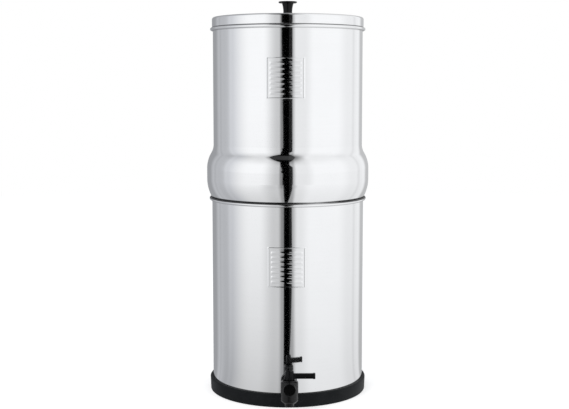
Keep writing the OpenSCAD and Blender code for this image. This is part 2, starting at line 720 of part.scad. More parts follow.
module tap_lever() {
    bar_z = hub_z + lever_lift;
    hollow_x = hub_low_d / 2 + 1;
    pad_x = lever_len - pad_len;
    color("#17181a") translate([0, -valve_y, 0]) difference() {
        union() {
            translate([0, 0, hub_z]) difference() {
                cylinder(d1 = hub_low_d, d2 = hub_high_d, h = hub_h);
                for (i = [0:hub_grooves - 1]) rotate([0, 0, (i + 0.5) * 360 / hub_grooves])
                    translate([(hub_low_d + hub_high_d) / 4 + hub_groove_d / 3, 0, -PAST])
                        cylinder(d = hub_groove_d, h = hub_h + 2 * PAST, $fn = 24);
            }
            translate([valve_stem_r, -lever_t / 2, bar_z])
                cube([lever_len - valve_stem_r - pad_len / 2, lever_t, lever_h]);
            translate([pad_x, -lever_t / 2 - pad_proud, bar_z - pad_proud])
                cube([pad_len, lever_t + 2 * pad_proud, lever_h + 2 * pad_proud]);
        }
        for (side = [-1, 1]) translate([hollow_x, side * lever_t / 2 - lever_hollow, bar_z + lever_rim])
            cube([pad_x - hollow_x - lever_rim, 2 * lever_hollow, lever_h - 2 * lever_rim]);
        translate([0, 0, hub_z - PAST]) cylinder(r = valve_stem_r + fit_gap, h = stem_top - hub_z + PAST);
    }
}

lower_chamber();
base_ring();
tap_body();
tap_gland();
tap_outer_washer();
tap_inner_washer();
tap_nut();
tap_plug();
tap_plug_seals();
tap_lever();
upper_chamber();
for (i = CANDLES) {
    at_station(i) candle_shell();
    at_station(i) candle_core();
    at_station(i) candle_mount();
    at_station(i) seal_washer();
    at_station(i) wing_nut();
}
for (i = BLANKS) {
    at_station(i) blank_plug();
    at_station(i) seal_washer();
    at_station(i) wing_nut();
}
lid_pan();
lid_knob();
knob_washer();
knob_screw();
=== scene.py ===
# %% [markdown]
# # A stacked water filter with a lever tap
#
# The object is a tower of two spun steel vessels under a pressed lid. It stands in a rubber ring and has a
# small plastic tap low at the front. The exact solids come first, as a frame that already has the right sizes
# and joints. This lesson dresses that frame: each visible piece is made again with finer shape, and every
# piece gets a finish of its own.

# %% Load the frame
import json
import math

import bmesh
import bpy
from mathutils import Matrix, Vector


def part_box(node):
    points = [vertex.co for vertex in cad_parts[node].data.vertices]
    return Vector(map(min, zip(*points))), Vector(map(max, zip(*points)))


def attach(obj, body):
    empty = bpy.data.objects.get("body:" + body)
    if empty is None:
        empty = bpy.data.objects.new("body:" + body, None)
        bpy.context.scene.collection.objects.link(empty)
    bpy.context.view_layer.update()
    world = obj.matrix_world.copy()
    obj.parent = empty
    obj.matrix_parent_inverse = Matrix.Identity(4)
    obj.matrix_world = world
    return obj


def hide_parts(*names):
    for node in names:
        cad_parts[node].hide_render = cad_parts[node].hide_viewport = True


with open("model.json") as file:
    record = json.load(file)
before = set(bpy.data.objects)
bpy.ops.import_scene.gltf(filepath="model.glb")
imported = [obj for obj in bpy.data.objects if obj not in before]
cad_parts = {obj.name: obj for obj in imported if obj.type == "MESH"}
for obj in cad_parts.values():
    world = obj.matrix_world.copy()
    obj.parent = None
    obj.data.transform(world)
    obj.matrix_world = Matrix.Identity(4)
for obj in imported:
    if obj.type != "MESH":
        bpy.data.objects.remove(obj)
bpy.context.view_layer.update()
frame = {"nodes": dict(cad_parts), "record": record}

# %% [markdown]
# ## Levels and radii
#
# Every size that a piece shares with its neighbours is read from the frame's boxes, so that the dressed
# pieces meet as the solids do. The rest are the sheet's thickness, the rolled bead, the play between the
# vessels and the tap's reach, which a box can't tell. They are in millimetres, as on a drawing, and only the
# finished meshes are in metres.


# %% Levels and radii that the frame gives
MM = 0.001
SHEET = 0.8
BEAD = 4.6
BEAD_R = BEAD / 2
CURL = BEAD_R - SHEET
NEST_PLAY = 1.5
LID_PLAY = 0.3
TAP_REACH = 42.0


def size_of(node):
    """A solid's lowest and highest corner in millimetres."""
    low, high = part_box(node)
    return [v / MM for v in low], [v / MM for v in high]


lower_box, upper_box, ring_box = map(size_of, ("lower_chamber", "upper_chamber", "base_ring"))
lid_box, knob_box, tap_box, lever_box = map(size_of, ("lid_pan", "lid_knob", "tap_body", "tap_lever"))
lower_z, lower_rim = lower_box[0][2], lower_box[1][2]
lower_r = lower_box[1][0] - BEAD + SHEET
upper_z, upper_rim = upper_box[0][2], upper_box[1][2]
bulge_r = upper_box[1][0]
lid_top = lid_box[1][2]
ring_r, ring_top = ring_box[1][0], ring_box[1][2]
upper_r = lower_r - SHEET - NEST_PLAY
lid_r = upper_r + CURL - LID_PLAY
valve_y = lower_r + TAP_REACH
print("radii:", lower_r, upper_r, bulge_r, lid_r, ring_r)
print("levels:", lower_z, lower_rim, upper_z, upper_rim, lid_top)

# %% [markdown]
# ## Writing node trees as sums
#
# Materials and generated shapes are both trees of nodes. Placing dozens of Math nodes by hand hides the idea,
# so one small class wraps a socket and lets Python's own signs add the nodes. One method makes every other
# kind of node: its settings first, then the values or links of its sockets.


# %% A socket that can be added and multiplied
def sign(operation, turned=False):
    """A method that adds one Math node. Turned, it takes the number on the sign's left first, as in 1 - mask."""
    def method(self, term):
        return self.graph.maths(operation, *((term, self) if turned else (self, term)))
    return method


class Value:
    """An output socket that takes part in sums. Each sign adds one Math node."""

    def __init__(self, graph, socket):
        self.graph, self.socket = graph, socket

    def other(self, name):
        """Another output of the node that this value comes from."""
        return Value(self.graph, self.socket.node.outputs[name])

    __add__, __radd__ = sign("ADD"), sign("ADD", turned=True)
    __sub__, __rsub__ = sign("SUBTRACT"), sign("SUBTRACT", turned=True)
    __mul__, __rmul__ = sign("MULTIPLY"), sign("MULTIPLY", turned=True)
    __truediv__, __rtruediv__ = sign("DIVIDE"), sign("DIVIDE", turned=True)
    __lt__, __gt__ = sign("LESS_THAN"), sign("GREATER_THAN")


# %% One method that makes any other node
def found(sockets, key):
    """A socket by its number, or by its name among those in use: a node can hide others of the same name."""
    if isinstance(key, int):
        return sockets[key]
    return next(s for s in sockets if s.name == key and s.enabled)


class Graph:
    """A node tree, and the ways used here to add to it."""

    def __init__(self, tree):
        self.tree = tree

    def link(self, value, socket):
        self.tree.links.new(value.socket, socket)

    def node(self, kind, settings=None, inputs=None, output=0):
        made = self.tree.nodes.new(kind)
        for name, value in (settings or {}).items():
            setattr(made, name, value)
        for key, value in (inputs or {}).items():
            socket = found(made.inputs, key)
            if isinstance(value, Value):
                self.link(value, socket)
            else:
                socket.default_value = value
        return Value(self, found(made.outputs, output))

    def maths(self, operation, *terms):
        return self.node("ShaderNodeMath", {"operation": operation}, dict(enumerate(terms)))

    def ease(self, value, low, high):
        """0 below low, 1 above high, and a smooth rise between them."""
        settings = {"interpolation_type": "SMOOTHSTEP"}
        return self.node("ShaderNodeMapRange", settings, {"Value": value, "From Min": low, "From Max": high})

    def hump(self, value, middle, reach):
        """1 at the middle, falling smoothly to 0 at the reach on both sides."""
        return 1 - self.ease(self.maths("ABSOLUTE", value - middle), 0.0, reach)

    def noise(self, vector, scale, detail=3.0):
        return self.node("ShaderNodeTexNoise", {}, {"Vector": vector, "Scale": scale, "Detail": detail})

    def stretched(self, vector, scale):
        """The vector with each of its axes scaled by itself, which draws a pattern out."""
        return self.node("ShaderNodeMapping", {}, {"Vector": vector, "Scale": scale})

    def blend(self, factor, first, second):
        """A colour between two others."""
        inputs = {"Factor": factor, "A": first, "B": second}
        return self.node("ShaderNodeMix", {"data_type": "RGBA"}, inputs, "Result")


# %% [markdown]
# ## Finishes
#
# A real finish is never one flat colour. Steel keeps faint turning marks and smudges, rubber has a grain, and
# moulded plastic a slight orange-peel skin. Each finish below starts from the standard surface shader. What
# is the same everywhere is written on the shader itself, and only colour, roughness and the small bumps vary.
# The patterns read the piece's own coordinates, in metres, so a scale of 1000 means details about a
# millimetre apart.


# %% Start a finish and feed what varies
GRAIN_STRENGTH = 0.6


def rgb(red, green, blue):
    return (red, green, blue, 1.0)


def start_finish(name, **constants):
    """A material with its graph, its shader and the piece's coordinates. The constants go on the shader."""
    material = bpy.data.materials.new(name)
    material.use_nodes = True
    shader = material.node_tree.nodes["Principled BSDF"]
    for socket, value in constants.items():
        shader.inputs[socket.replace("_", " ")].default_value = value
    graph = Graph(material.node_tree)
    return material, graph, shader, graph.node("ShaderNodeTexCoord", output="Object")


def feed(graph, shader, colour, roughness, grain=None, depth=0.0):
    """Link what varies over the surface. The grain goes through a Bump node, and its depth is in metres."""
    graph.link(colour, shader.inputs["Base Color"])
    graph.link(roughness, shader.inputs["Roughness"])
    if grain is not None:
        inputs = {"Height": grain, "Strength": GRAIN_STRENGTH, "Distance": depth}
        graph.link(graph.node("ShaderNodeBump", {}, inputs), shader.inputs["Normal"])


# %% [markdown]
# ### Polished and plain steel
#
# Spun steel is polished on the lathe, so its faint marks run round the wall. They are drawn by noise that is
# stretched round the axis and squeezed along it. They change the roughness a little and the colour almost not at
# all. A slow noise adds the smudges of handling. In the narrow folds where sheet meets sheet, a dark line of
# painted shade stands for the shadow in the crevice. A fold is given by its height. To the right of the tap the
# painted shade is paler.


# %% Steel finishes
TURNING_MARKS = (14.0, 14.0, 2600.0)
SMUDGES = 16.0
# The colour of the painted shade in the folds, and where round the front that shade is paler.
FOLD_SHADE_COLOUR = (0.035, 0.035, 0.037)
PALER_SHADE_AT, PALER_SHADE_REACH = 35.0, 45.0


def steel_finish(name, bright, dull, smooth, rough, folds=()):
    """Steel with turning marks: two near colours and two near roughnesses, and painted shade along folds. A fold
    is (height in millimetres, flat half width, soft edge, darkness of the painted shade, how much paler that
    shade is to the right of the tap)."""
    material, graph, shader, place = start_finish(name, Metallic=1.0)
    marks = graph.noise(graph.stretched(place, TURNING_MARKS), 1.0)
    smudges = graph.noise(place, SMUDGES)
    dullness = graph.ease(marks * 0.55 + smudges * 0.45, 0.3, 0.75)
    colour = graph.blend(dullness, rgb(*bright), rgb(*dull))
    roughness = smooth + (rough - smooth) * dullness
    parts = graph.node("ShaderNodeSeparateXYZ", {}, {0: place})
    paler_shade = graph.hump(parts.other("X"), PALER_SHADE_AT * MM, PALER_SHADE_REACH * MM)
    for height, flat, soft, darkness, paler_by in folds:
        # Painted shade: a dark, rougher line at the fold's height stands for the shadow in the crevice. It is
        # paler to the right of the tap.
        off = graph.maths("ABSOLUTE", parts.other("Z") - height * MM)
        painted_shade = darkness * (1 - graph.ease(off, flat * MM, (flat + soft) * MM)) * (1 - paler_by * paler_shade)
        colour = graph.blend(painted_shade, colour, rgb(*FOLD_SHADE_COLOUR))
        roughness = roughness + 0.3 * painted_shade
    feed(graph, shader, colour, roughness)
    return material


# Painted shade at the rim joints and under the beads: height, width, softness, darkness and paler share of each
# dark line.
FOLD_SHADES = [(lower_rim - 0.4, 0.7, 0.9, 0.95, 0.6), (lower_rim - BEAD, 0.3, 0.8, 0.4, 0),
         (upper_rim, 0.3, 0.6, 0.5, 0), (upper_rim - BEAD, 0.3, 0.8, 0.25, 0)]
STEELS = {"polished_steel": ((0.955, 0.958, 0.96), (0.925, 0.928, 0.93), 0.045, 0.08, FOLD_SHADES),
          "plain_steel": ((0.68, 0.68, 0.69), (0.56, 0.56, 0.57), 0.26, 0.42)}
finishes = {name: steel_finish(name + "_finish", *numbers) for name, numbers in STEELS.items()}
print("steel finishes:", list(finishes))

# %% [markdown]
# ### Rubber, plastic, ceramic and carbon
#
# All of these are the same idea with different grain: a fine noise for the skin, a slower one for patches of
# colour, and a bump that stands only a few hundredths of a millimetre high. One helper takes the numbers, and
# a table gives them, so that two finishes are easy to compare.


# %% Moulded and fired finishes
PATCHES = 60.0


def grained_finish(name, first, second, roughness, grain, depth, specular):
    """A skin with grain. grain is the noise scale, depth the grain's height in millimetres."""
    material, graph, shader, place = start_finish(name, Specular_IOR_Level=specular)
    fine = graph.noise(place, grain)
    slow = graph.noise(place, PATCHES)
    colour = graph.blend(graph.ease(slow * 0.6 + fine * 0.4, 0.35, 0.65), rgb(*first), rgb(*second))
    spread = roughness + (fine - 0.5) * 0.14 + (slow - 0.5) * 0.1
    feed(graph, shader, colour, spread, fine, depth * MM)
    return material


# Two colours, roughness, noise scale, depth of the grain and specular level.
GRAINED = {
    "black_rubber": ((0.005, 0.0062, 0.0072), (0.011, 0.0125, 0.014), 0.5, 1500.0, 0.06, 0.14),
    "tap_plastic": ((0.002, 0.002, 0.0022), (0.005, 0.005, 0.0054), 0.23, 900.0, 0.03, 0.38),
    "lever_plastic": ((0.001, 0.001, 0.0012), (0.003, 0.003, 0.0034), 0.22, 900.0, 0.03, 0.17),
    "disc_plastic": ((0.001, 0.001, 0.001), (0.003, 0.003, 0.003), 0.5, 900.0, 0.03, 0.05),
    "valve_plastic": ((0.045, 0.045, 0.05), (0.06, 0.06, 0.066), 0.42, 1100.0, 0.03, 0.4),
    "knob_plastic": ((0.002, 0.002, 0.0023), (0.005, 0.005, 0.0055), 0.24, 700.0, 0.02, 0.2),
    "white_ceramic": ((0.87, 0.84, 0.77), (0.8, 0.765, 0.69), 0.82, 1300.0, 0.12, 0.3),
    "carbon_block": ((0.016, 0.016, 0.016), (0.055, 0.055, 0.055), 0.8, 900.0, 0.25, 0.3),
    "white_plastic": ((0.8, 0.83, 0.85), (0.75, 0.785, 0.81), 0.36, 800.0, 0.03, 0.5),
    "pale_rubber": ((0.68, 0.65, 0.58), (0.6, 0.57, 0.5), 0.62, 1300.0, 0.06, 0.35)}
finishes.update({name: grained_finish(name + "_finish", *numbers) for name, numbers in GRAINED.items()})
print("all finishes:", list(finishes))

# %% [markdown]
# ## Turning a profile round an axis
#
# Vessels, lid, knob, ring, candles and stems are all turned or spun on the real object: one outline goes
# round an axis. The Spin tool or a Screw modifier could do it. A Geometry Nodes tree does it here, because it
# can do more in the same pass: it presses a pattern into the wall, cuts a thread or cuts grooves, as a change
# of the radius. The tree lays a flat grid, one row for each point of the outline, and wraps it round the
# axis.


# %% Trees with named sizes
def shape_tree(name, sizes):
    """A Geometry Nodes tree with named inputs, its graph, and a function that gives an input by name."""
    tree = bpy.data.node_groups.new(name, "GeometryNodeTree")
    tree.interface.new_socket("Geometry", in_out="INPUT", socket_type="NodeSocketGeometry")
    for label, kind in sizes.items():
        tree.interface.new_socket(label, in_out="INPUT", socket_type="NodeSocket" + kind)
    tree.interface.new_socket("Geometry", in_out="OUTPUT", socket_type="NodeSocketGeometry")
    graph = Graph(tree)
    return graph, graph.node("NodeGroupInput").other


def end_tree(graph, shape, material):
    """Close a tree: everything real, smooth and in its material."""
    smooth = graph.node("GeometryNodeSetShadeSmooth", {}, {"Geometry": shape})
    real = graph.node("GeometryNodeRealizeInstances", {}, {"Geometry": smooth})
    dressed = graph.node("GeometryNodeSetMaterial", {}, {"Geometry": real, "Material": material})
    graph.link(dressed, graph.tree.nodes.new("NodeGroupOutput").inputs["Geometry"])
    return graph.tree


# %% The spinning tree
SPIN_SIZES = {"Half Columns": "Int", "Fine Columns": "Int", "Fine Step": "Float", "Wall Radius": "Float",
              "Material": "Material"}
SEAM = 0.004


def whole(graph, operation, first, second):
    """A sum on whole numbers, for rows and columns."""
    return graph.node("FunctionNodeIntegerMath", {"operation": operation}, {0: first, 1: second})


def spin_tree(name, feature=None, sizes=None):
    """Wrap a grid round the axis. The columns are fine and even at the front, and widen slowly to the back,
    so that no seam between fine and coarse shows in the polish. A feature gives the change of radius."""
    graph, size = shape_tree(name, {**SPIN_SIZES, **(sizes or {})})
    outline, half, fine, step = (size(s) for s in ("Geometry", "Half Columns", "Fine Columns", "Fine Step"))
    rows = graph.node("GeometryNodeAttributeDomainSize", {"component": "MESH"}, {"Geometry": outline},
                      "Point Count")
    across = whole(graph, "ADD", whole(graph, "MULTIPLY", half, 2), 1)
    grid = graph.node("GeometryNodeMeshGrid", {}, {"Vertices X": rows, "Vertices Y": across}, "Mesh")
    index = graph.node("GeometryNodeInputIndex")
    row = whole(graph, "DIVIDE_FLOOR", index, across)
    column = whole(graph, "SUBTRACT", whole(graph, "MODULO", index, across), half)
    corner = graph.node("GeometryNodeSampleIndex", {"data_type": "FLOAT_VECTOR"},
                        {"Geometry": outline, "Value": graph.node("GeometryNodeInputPosition"), "Index": row})
    parts = graph.node("ShaderNodeSeparateXYZ", {}, {0: corner})
    radius, height = parts.other("X"), parts.other("Z")
    count = graph.maths("ABSOLUTE", column)
    wide = graph.maths("MAXIMUM", count - fine, 0.0)
    spare = graph.maths("MAXIMUM", half - fine, 1.0)
    turn = step * count + (math.pi - step * half) * wide * wide / (spare * spare)
    angle = graph.maths("SIGN", column) * turn
    if feature:
        radius = radius + feature(graph, size, angle, radius, height)
    place = graph.node("ShaderNodeCombineXYZ", {}, {
        "X": radius * graph.maths("SINE", angle),
        "Y": 0 - radius * graph.maths("COSINE", angle), "Z": height})
    wrapped = graph.node("GeometryNodeSetPosition", {}, {"Geometry": grid, "Position": place})
    closed = graph.node("GeometryNodeMergeByDistance", {}, {"Geometry": wrapped, "Distance": SEAM * MM})
    return end_tree(graph, closed, size("Material"))


# %% [markdown]
# Three features change the radius. A pressed panel is a raised square border with plain level ribs in it, as
# a press leaves in sheet. A thread is a ridge whose phase goes round once for each pitch of height. Grooves
# are round channels at equal angles, which the fingers grip.


# %% Pressed panel
BORDER_W = 0.9 * MM
RIB_ENDS, RIB_BANK = (4.5 * MM, 6.0 * MM), (4.0 * MM, 5.5 * MM)


def pressed(graph, size, angle, radius, height):
    """A border and level ribs pressed out of the wall, and a very slow ripple of the whole wall."""
    wall = size("Wall Radius")
    side = size("Panel Width") / 2 - graph.maths("ABSOLUTE", (angle + size("Panel Turn")) * wall)
    above = height - size("Panel Level")
    end = size("Panel Height") / 2 - graph.maths("ABSOLUTE", above)
    border = graph.hump(graph.maths("MINIMUM", side, end), BORDER_W, BORDER_W)
    waves = graph.maths("COSINE", above / size("Rib Pitch") * (2 * math.pi))
    ribs = graph.ease(waves, -0.2, 0.9) * graph.ease(side, *RIB_ENDS) * graph.ease(end, *RIB_BANK)
    relief = size("Panel Relief") * graph.maths("MAXIMUM", border, ribs * 0.85)
    on_wall = graph.maths("ABSOLUTE", radius - wall + SHEET * MM / 2) < SHEET * MM
    around = graph.node("ShaderNodeCombineXYZ", {}, {
        "X": graph.maths("SINE", angle) * wall, "Y": graph.maths("COSINE", angle) * wall, "Z": height * 0.6})
    slow = graph.noise(around, 14.0, 0.0) - 0.5
    return relief * on_wall + size("Ripple") * slow * graph.ease(radius / wall, 0.6, 0.85)


# %% Thread and grooves
ON_THREAD = 0.02 * MM


def threaded(graph, size, angle, radius, height):
    """Cut a V thread into the part of the outline that lies on the wall radius."""
    phase = graph.maths("FRACT", height / size("Thread Pitch") + angle / (2 * math.pi))
    valley = 1 - graph.maths("ABSOLUTE", 2 * phase - 1)
    on_wall = graph.maths("ABSOLUTE", radius - size("Wall Radius")) < ON_THREAD
    return 0 - size("Thread Depth") * valley * on_wall


def grooved(graph, size, angle, radius, height):
    """Cut round grooves whose middles stand on a circle, so that they fade where the piece gets thinner."""
    share = 2 * math.pi / size("Grooves")
    off = graph.maths("ABSOLUTE", graph.maths("FRACT", angle / share) - 0.5) * share * size("Groove Circle")
    reach = size("Groove Radius")
    hollow = graph.maths("SQRT", graph.maths("MAXIMUM", reach * reach - off * off, 0.0))
    floor = size("Groove Circle") - hollow
    return graph.maths("MINIMUM", floor - radius, 0.0) * (off < reach) * (radius > reach * 2)


# %% One tree for each kind of spun piece
PANEL_SIZES = {"Panel Width": "Float", "Panel Height": "Float", "Panel Level": "Float", "Panel Turn": "Float",
               "Panel Relief": "Float", "Rib Pitch": "Float", "Ripple": "Float"}
plain_spin = spin_tree("spin_plain")
pressed_spin = spin_tree("spin_with_pressed_panel", pressed, PANEL_SIZES)
threaded_spin = spin_tree("spin_with_thread", threaded, {"Thread Pitch": "Float", "Thread Depth": "Float"})
grooved_spin = spin_tree("spin_with_grooves", grooved, {"Grooves": "Int", "Groove Radius": "Float",
                                                         "Groove Circle": "Float"})
print("trees:", [t.name for t in bpy.data.node_groups])


# %% Run a tree on an outline
def keep_result(holder):
    """The evaluated object as a plain mesh. The object that carried the modifiers goes."""
    made = bpy.data.meshes.new_from_object(holder.evaluated_get(bpy.context.evaluated_depsgraph_get()))
    bpy.data.objects.remove(holder)
    return made


def new_object(name, mesh):
    made = bpy.data.objects.new(name, mesh)
    bpy.context.scene.collection.objects.link(made)
    return made


DOUBLES, SLIVERS = 0.002 * MM, 0.0005 * MM


def close_up(mesh, crease=38):
    """Merge doubles, turn every face outwards and keep edges crisp past an angle."""
    work = bmesh.new()
    work.from_mesh(mesh)
    bmesh.ops.remove_doubles(work, verts=work.verts, dist=DOUBLES)
    bmesh.ops.dissolve_degenerate(work, edges=work.edges, dist=SLIVERS)
    bmesh.ops.recalc_face_normals(work, faces=work.faces)
    for face in work.faces:
        face.smooth = True
    work.to_mesh(mesh)
    work.free()
    mesh.set_sharp_from_angle(angle=math.radians(crease))
    return mesh


def spun(outline, finish, tree=None, columns=96, fine=None, step=None, **sizes):
    """Spin an outline of (radius, height) in millimetres, and give the mesh in metres."""
    start = bpy.data.meshes.new("outline")
    edges = [(i, i + 1) for i in range(len(outline) - 1)]
    start.from_pydata([(r * MM, 0.0, z * MM) for r, z in outline], edges, [])
    holder = new_object("outline", start)
    modifier = holder.modifiers.new("spin", "NODES")
    modifier.node_group = tree or plain_spin
    half = columns // 2
    given = {"Half Columns": half, "Fine Columns": fine or half, "Fine Step": step or math.pi / half,
             "Material": finish, **{label.replace("_", " "): value for label, value in sizes.items()}}
    for item in modifier.node_group.interface.items_tree:
        if item.in_out == "INPUT" and item.name in given:
            modifier[item.identifier] = given[item.name]
    return close_up(keep_result(holder))


# %% [markdown]
# ## Outlines
#
# An outline is a list of points in millimetres: distance from the axis, and height. Folds are arcs. A long
# straight wall between two folds needs a row of points close to each end, or the smooth shading of the folds
# would bend the mirror image all along the wall.


# %% Arcs, rounded corners and walls
FOLD = 12
SWEEP = 28
NEAR = 0.35


def arc(centre, radius, start, end, steps=FOLD):
    turns = [math.radians(start + (end - start) * i / steps) for i in range(steps + 1)]
    return [(centre[0] + radius * math.cos(a), centre[1] + radius * math.sin(a)) for a in turns]


def rounded(corners, steps=5):
    """Points through corners of (radius, height, rounding). A corner without a rounding stays crisp."""
    points = []
    for i, corner in enumerate(corners):
        here = Vector(corner[:2])
        if len(corner) < 3 or i in (0, len(corners) - 1):
            points.append(tuple(here))
            continue
        back, ahead = Vector(corners[i - 1][:2]) - here, Vector(corners[i + 1][:2]) - here
        half = back.angle(ahead) / 2
        radius = min(corner[2], 0.49 * min(back.length, ahead.length) * math.tan(half))
        middle = here + (back.normalized() + ahead.normalized()).normalized() * radius / math.sin(half)
        first = here + back.normalized() * radius / math.tan(half) - middle
        last = here + ahead.normalized() * radius / math.tan(half) - middle
        start, turn = math.atan2(first.y, first.x), math.atan2(last.y, last.x) - math.atan2(first.y, first.x)
        turn = (turn + math.pi) % (2 * math.pi) - math.pi
        points += arc(middle, radius, math.degrees(start), math.degrees(start + turn), steps)
    return points


def wall(radius, low, high, fine=(), extra=()):
    """Rows up a straight wall: one near each end, extra ones, fine bands of (middle, half height, step)."""
    rows = {low + NEAR, high - NEAR, *extra}
    for middle, half, step in fine:
        count = round(2 * half / step)
        rows.update(middle - half + 2 * half * i / count for i in range(count + 1))
    return [(radius, z) for z in sorted(rows)]


# %% [markdown]
# ## Lower vessel
#
# The lower vessel is a plain tube of thin sheet with a pressed bottom corner and a rim that is rolled
# outwards into a bead. It has one hole for the tap. A press has raised a small square panel at the front. The
# outline goes up the outside, round the roll, and back down the inside, so the sheet has its true thickness
# everywhere.


# %% Rolled rim, and the hole cutter
ROLL_END = -125


def rolled_rim(wall_r, rim_z, hollow_steps=2 * FOLD):
    """The roll from the wall's outer face: round its hollow first, and back over its outside."""
    middle = (wall_r + CURL, rim_z - BEAD_R)
    return arc(middle, CURL, 180, ROLL_END, hollow_steps) + arc(middle, BEAD_R, ROLL_END, 180, 2 * FOLD)


def in_metres(matrix):
    """A matrix that is written in millimetres, for a mesh that is in metres."""
    return Matrix.Scale(MM, 4) @ matrix @ Matrix.Scale(1 / MM, 4)


def rod(radius, length, matrix, columns=48):
    """A closed rod from a turned outline, placed by a matrix that is in millimetres."""
    made = spun([(0, 0), (radius, 0), (radius, length), (0, length)], None, columns=columns)
    made.transform(in_metres(matrix))
    return made


def forward(start_y, level):
    """The matrix that lays a rod along the front, from a depth in front of the axis."""
    return Matrix.Translation((0, -start_y, level)) @ Matrix.Rotation(math.radians(90), 4, "X")


def cut(mesh, cutters):
    """The mesh with each cutter taken out of it."""
    holder = new_object("cut", mesh)
    tools = [new_object("cutter", c) for c in cutters]
    for tool in tools:
        modifier = holder.modifiers.new("cut", "BOOLEAN")
        modifier.operation, modifier.solver, modifier.object = "DIFFERENCE", "EXACT", tool
    made = keep_result(holder)
    for tool in tools:
        bpy.data.objects.remove(tool)
    return close_up(made)


def show(name, mesh, body, slot, *nodes):
    """Make the finished piece, let it ride on its body and stand for its solids."""
    piece = new_object(name, mesh)
    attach(piece, body)
    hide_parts(*nodes)
    mesh.calc_loop_triangles()
    print(name, "triangles", len(mesh.loop_triangles))


# %% Lower vessel
PANEL_W, PANEL_H, PANEL_RISE, PANEL_TURN = 52.0, 55.0, 184.5, 1.6
FINE_ROW, COARSE_ROW = 0.55, 1.9
PRESS = {"Panel_Width": PANEL_W * MM, "Panel_Height": PANEL_H * MM, "Panel_Relief": 0.6 * MM,
         "Rib_Pitch": 6.6 * MM, "Ripple": 0.1 * MM}
WALL_COLUMNS = {"columns": 320, "fine": 56, "step": 0.0052}
SHANK_R, SHANK_RISE, HOLE_PLAY, DRILL = 8.0, 24.2, 0.4, 22.0
CORNER = 6.0
shank_level = tap_box[0][2] + SHANK_RISE
corner = (lower_r - CORNER, lower_z + CORNER)
lower_panel = lower_z + PANEL_RISE


def panel_band(level, row):
    """The rows that a panel needs, for wall()."""
    return [(level, PANEL_H / 2 + 1, row)]


def lower_side(t, row):
    """The straight wall, t deeper than the outside, with a row on each side of the tap's hole."""
    hole_rows = [shank_level - DRILL / 2, shank_level + DRILL / 2]
    return wall(lower_r - t, corner[1], lower_rim - BEAD_R, panel_band(lower_panel, row), hole_rows)


lower_outline = (
    [(0, lower_z), (corner[0] - NEAR, lower_z)] + arc(corner, CORNER, -90, 0) + lower_side(0, FINE_ROW)
    + rolled_rim(lower_r, lower_rim)
    + lower_side(SHEET, COARSE_ROW)[::-1] + arc(corner, CORNER - SHEET, 0, -90)
    + [(corner[0] - NEAR, lower_z + SHEET), (0, lower_z + SHEET)])
lower_mesh = spun(lower_outline, finishes["polished_steel"], pressed_spin, **WALL_COLUMNS, **PRESS,
                  Wall_Radius=lower_r * MM, Panel_Level=lower_panel * MM, Panel_Turn=math.radians(PANEL_TURN))
lower_mesh = cut(lower_mesh, [rod(SHANK_R + HOLE_PLAY, DRILL, forward(lower_r - DRILL / 2, shank_level))])
show("lower_vessel", lower_mesh, "base", "polished_steel", "lower_chamber")

# %% [markdown]
# ## Upper vessel
#
# The upper vessel is narrower than the lower one, and its foot bulges out before it folds in to the collar
# that drops inside the lower rim. The bulge is four arcs that touch without a kink: a small fold at the foot,
# a long curve, a long shoulder, and a hollow neck curve that runs out into the wall. Where two arcs touch,
# their middles and the touching point lie on one line, and that gives each radius and turn that isn't chosen.
# Small folds and the inner face get fewer rows, so that this long outline stays a mesh of moderate size.

# %% Folds of the upper vessel
GAP, COLLAR_PLAY, COLLAR_CORNER = 0.1, 1.0, 3.0
FOLD_R, FOOT_OUT, BELLY_RISE, SHOULDER_RISE, SHOULDER_R, NECK_R = 1.2, 0.64, 25.6, 14.5, 43.0, 24.0
collar_r, seat = lower_r - SHEET - COLLAR_PLAY, lower_rim + GAP
low_top = seat + BELLY_RISE
high_top = low_top + SHOULDER_RISE
foot_fold = (collar_r + FOLD_R + FOOT_OUT, seat + FOLD_R)
fold_in, fold_rise = bulge_r - foot_fold[0], BELLY_RISE - FOLD_R
belly_r = (fold_in ** 2 + fold_rise ** 2 - FOLD_R ** 2) / (2 * (fold_in - FOLD_R))
belly_turn = math.degrees(math.asin(fold_rise / (belly_r - FOLD_R)))
neck_reach = upper_r + NECK_R - (bulge_r - SHOULDER_R)
neck_rise = math.sqrt((SHOULDER_R + NECK_R) ** 2 - neck_reach ** 2)
neck = (upper_r + NECK_R, high_top + neck_rise)
neck_turn = math.degrees(math.atan2(neck_rise, neck_reach))
belly, shoulder = (bulge_r - belly_r, low_top), (bulge_r - SHOULDER_R, high_top)
seat_fold = (collar_r + FOLD_R, seat - FOLD_R)
collar = (collar_r - COLLAR_CORNER, upper_z + COLLAR_CORNER)
print("bulge: long curve", round(belly_r, 2), "turns", round(belly_turn, 1), "and neck", round(neck_turn, 1))

# %% Upper vessel
UPPER_PANEL_RISE, UPPER_PANEL_TURN = 178.5, 2.5
FLOOR_RING, FLOOR_MARGIN, FLOOR_DRILL = 55.0, 9.0, 4.0
STEM_R = 6.0
SMALL_FOLD, INNER_SWEEP = 4, 5
STATIONS = {"left": (-FLOOR_RING, 0), "right": (FLOOR_RING, 0),
            "front": (0, -FLOOR_RING), "back": (0, FLOOR_RING)}
upper_panel = upper_z + UPPER_PANEL_RISE
floor_rows = [FLOOR_RING - FLOOR_MARGIN, FLOOR_RING + FLOOR_MARGIN]


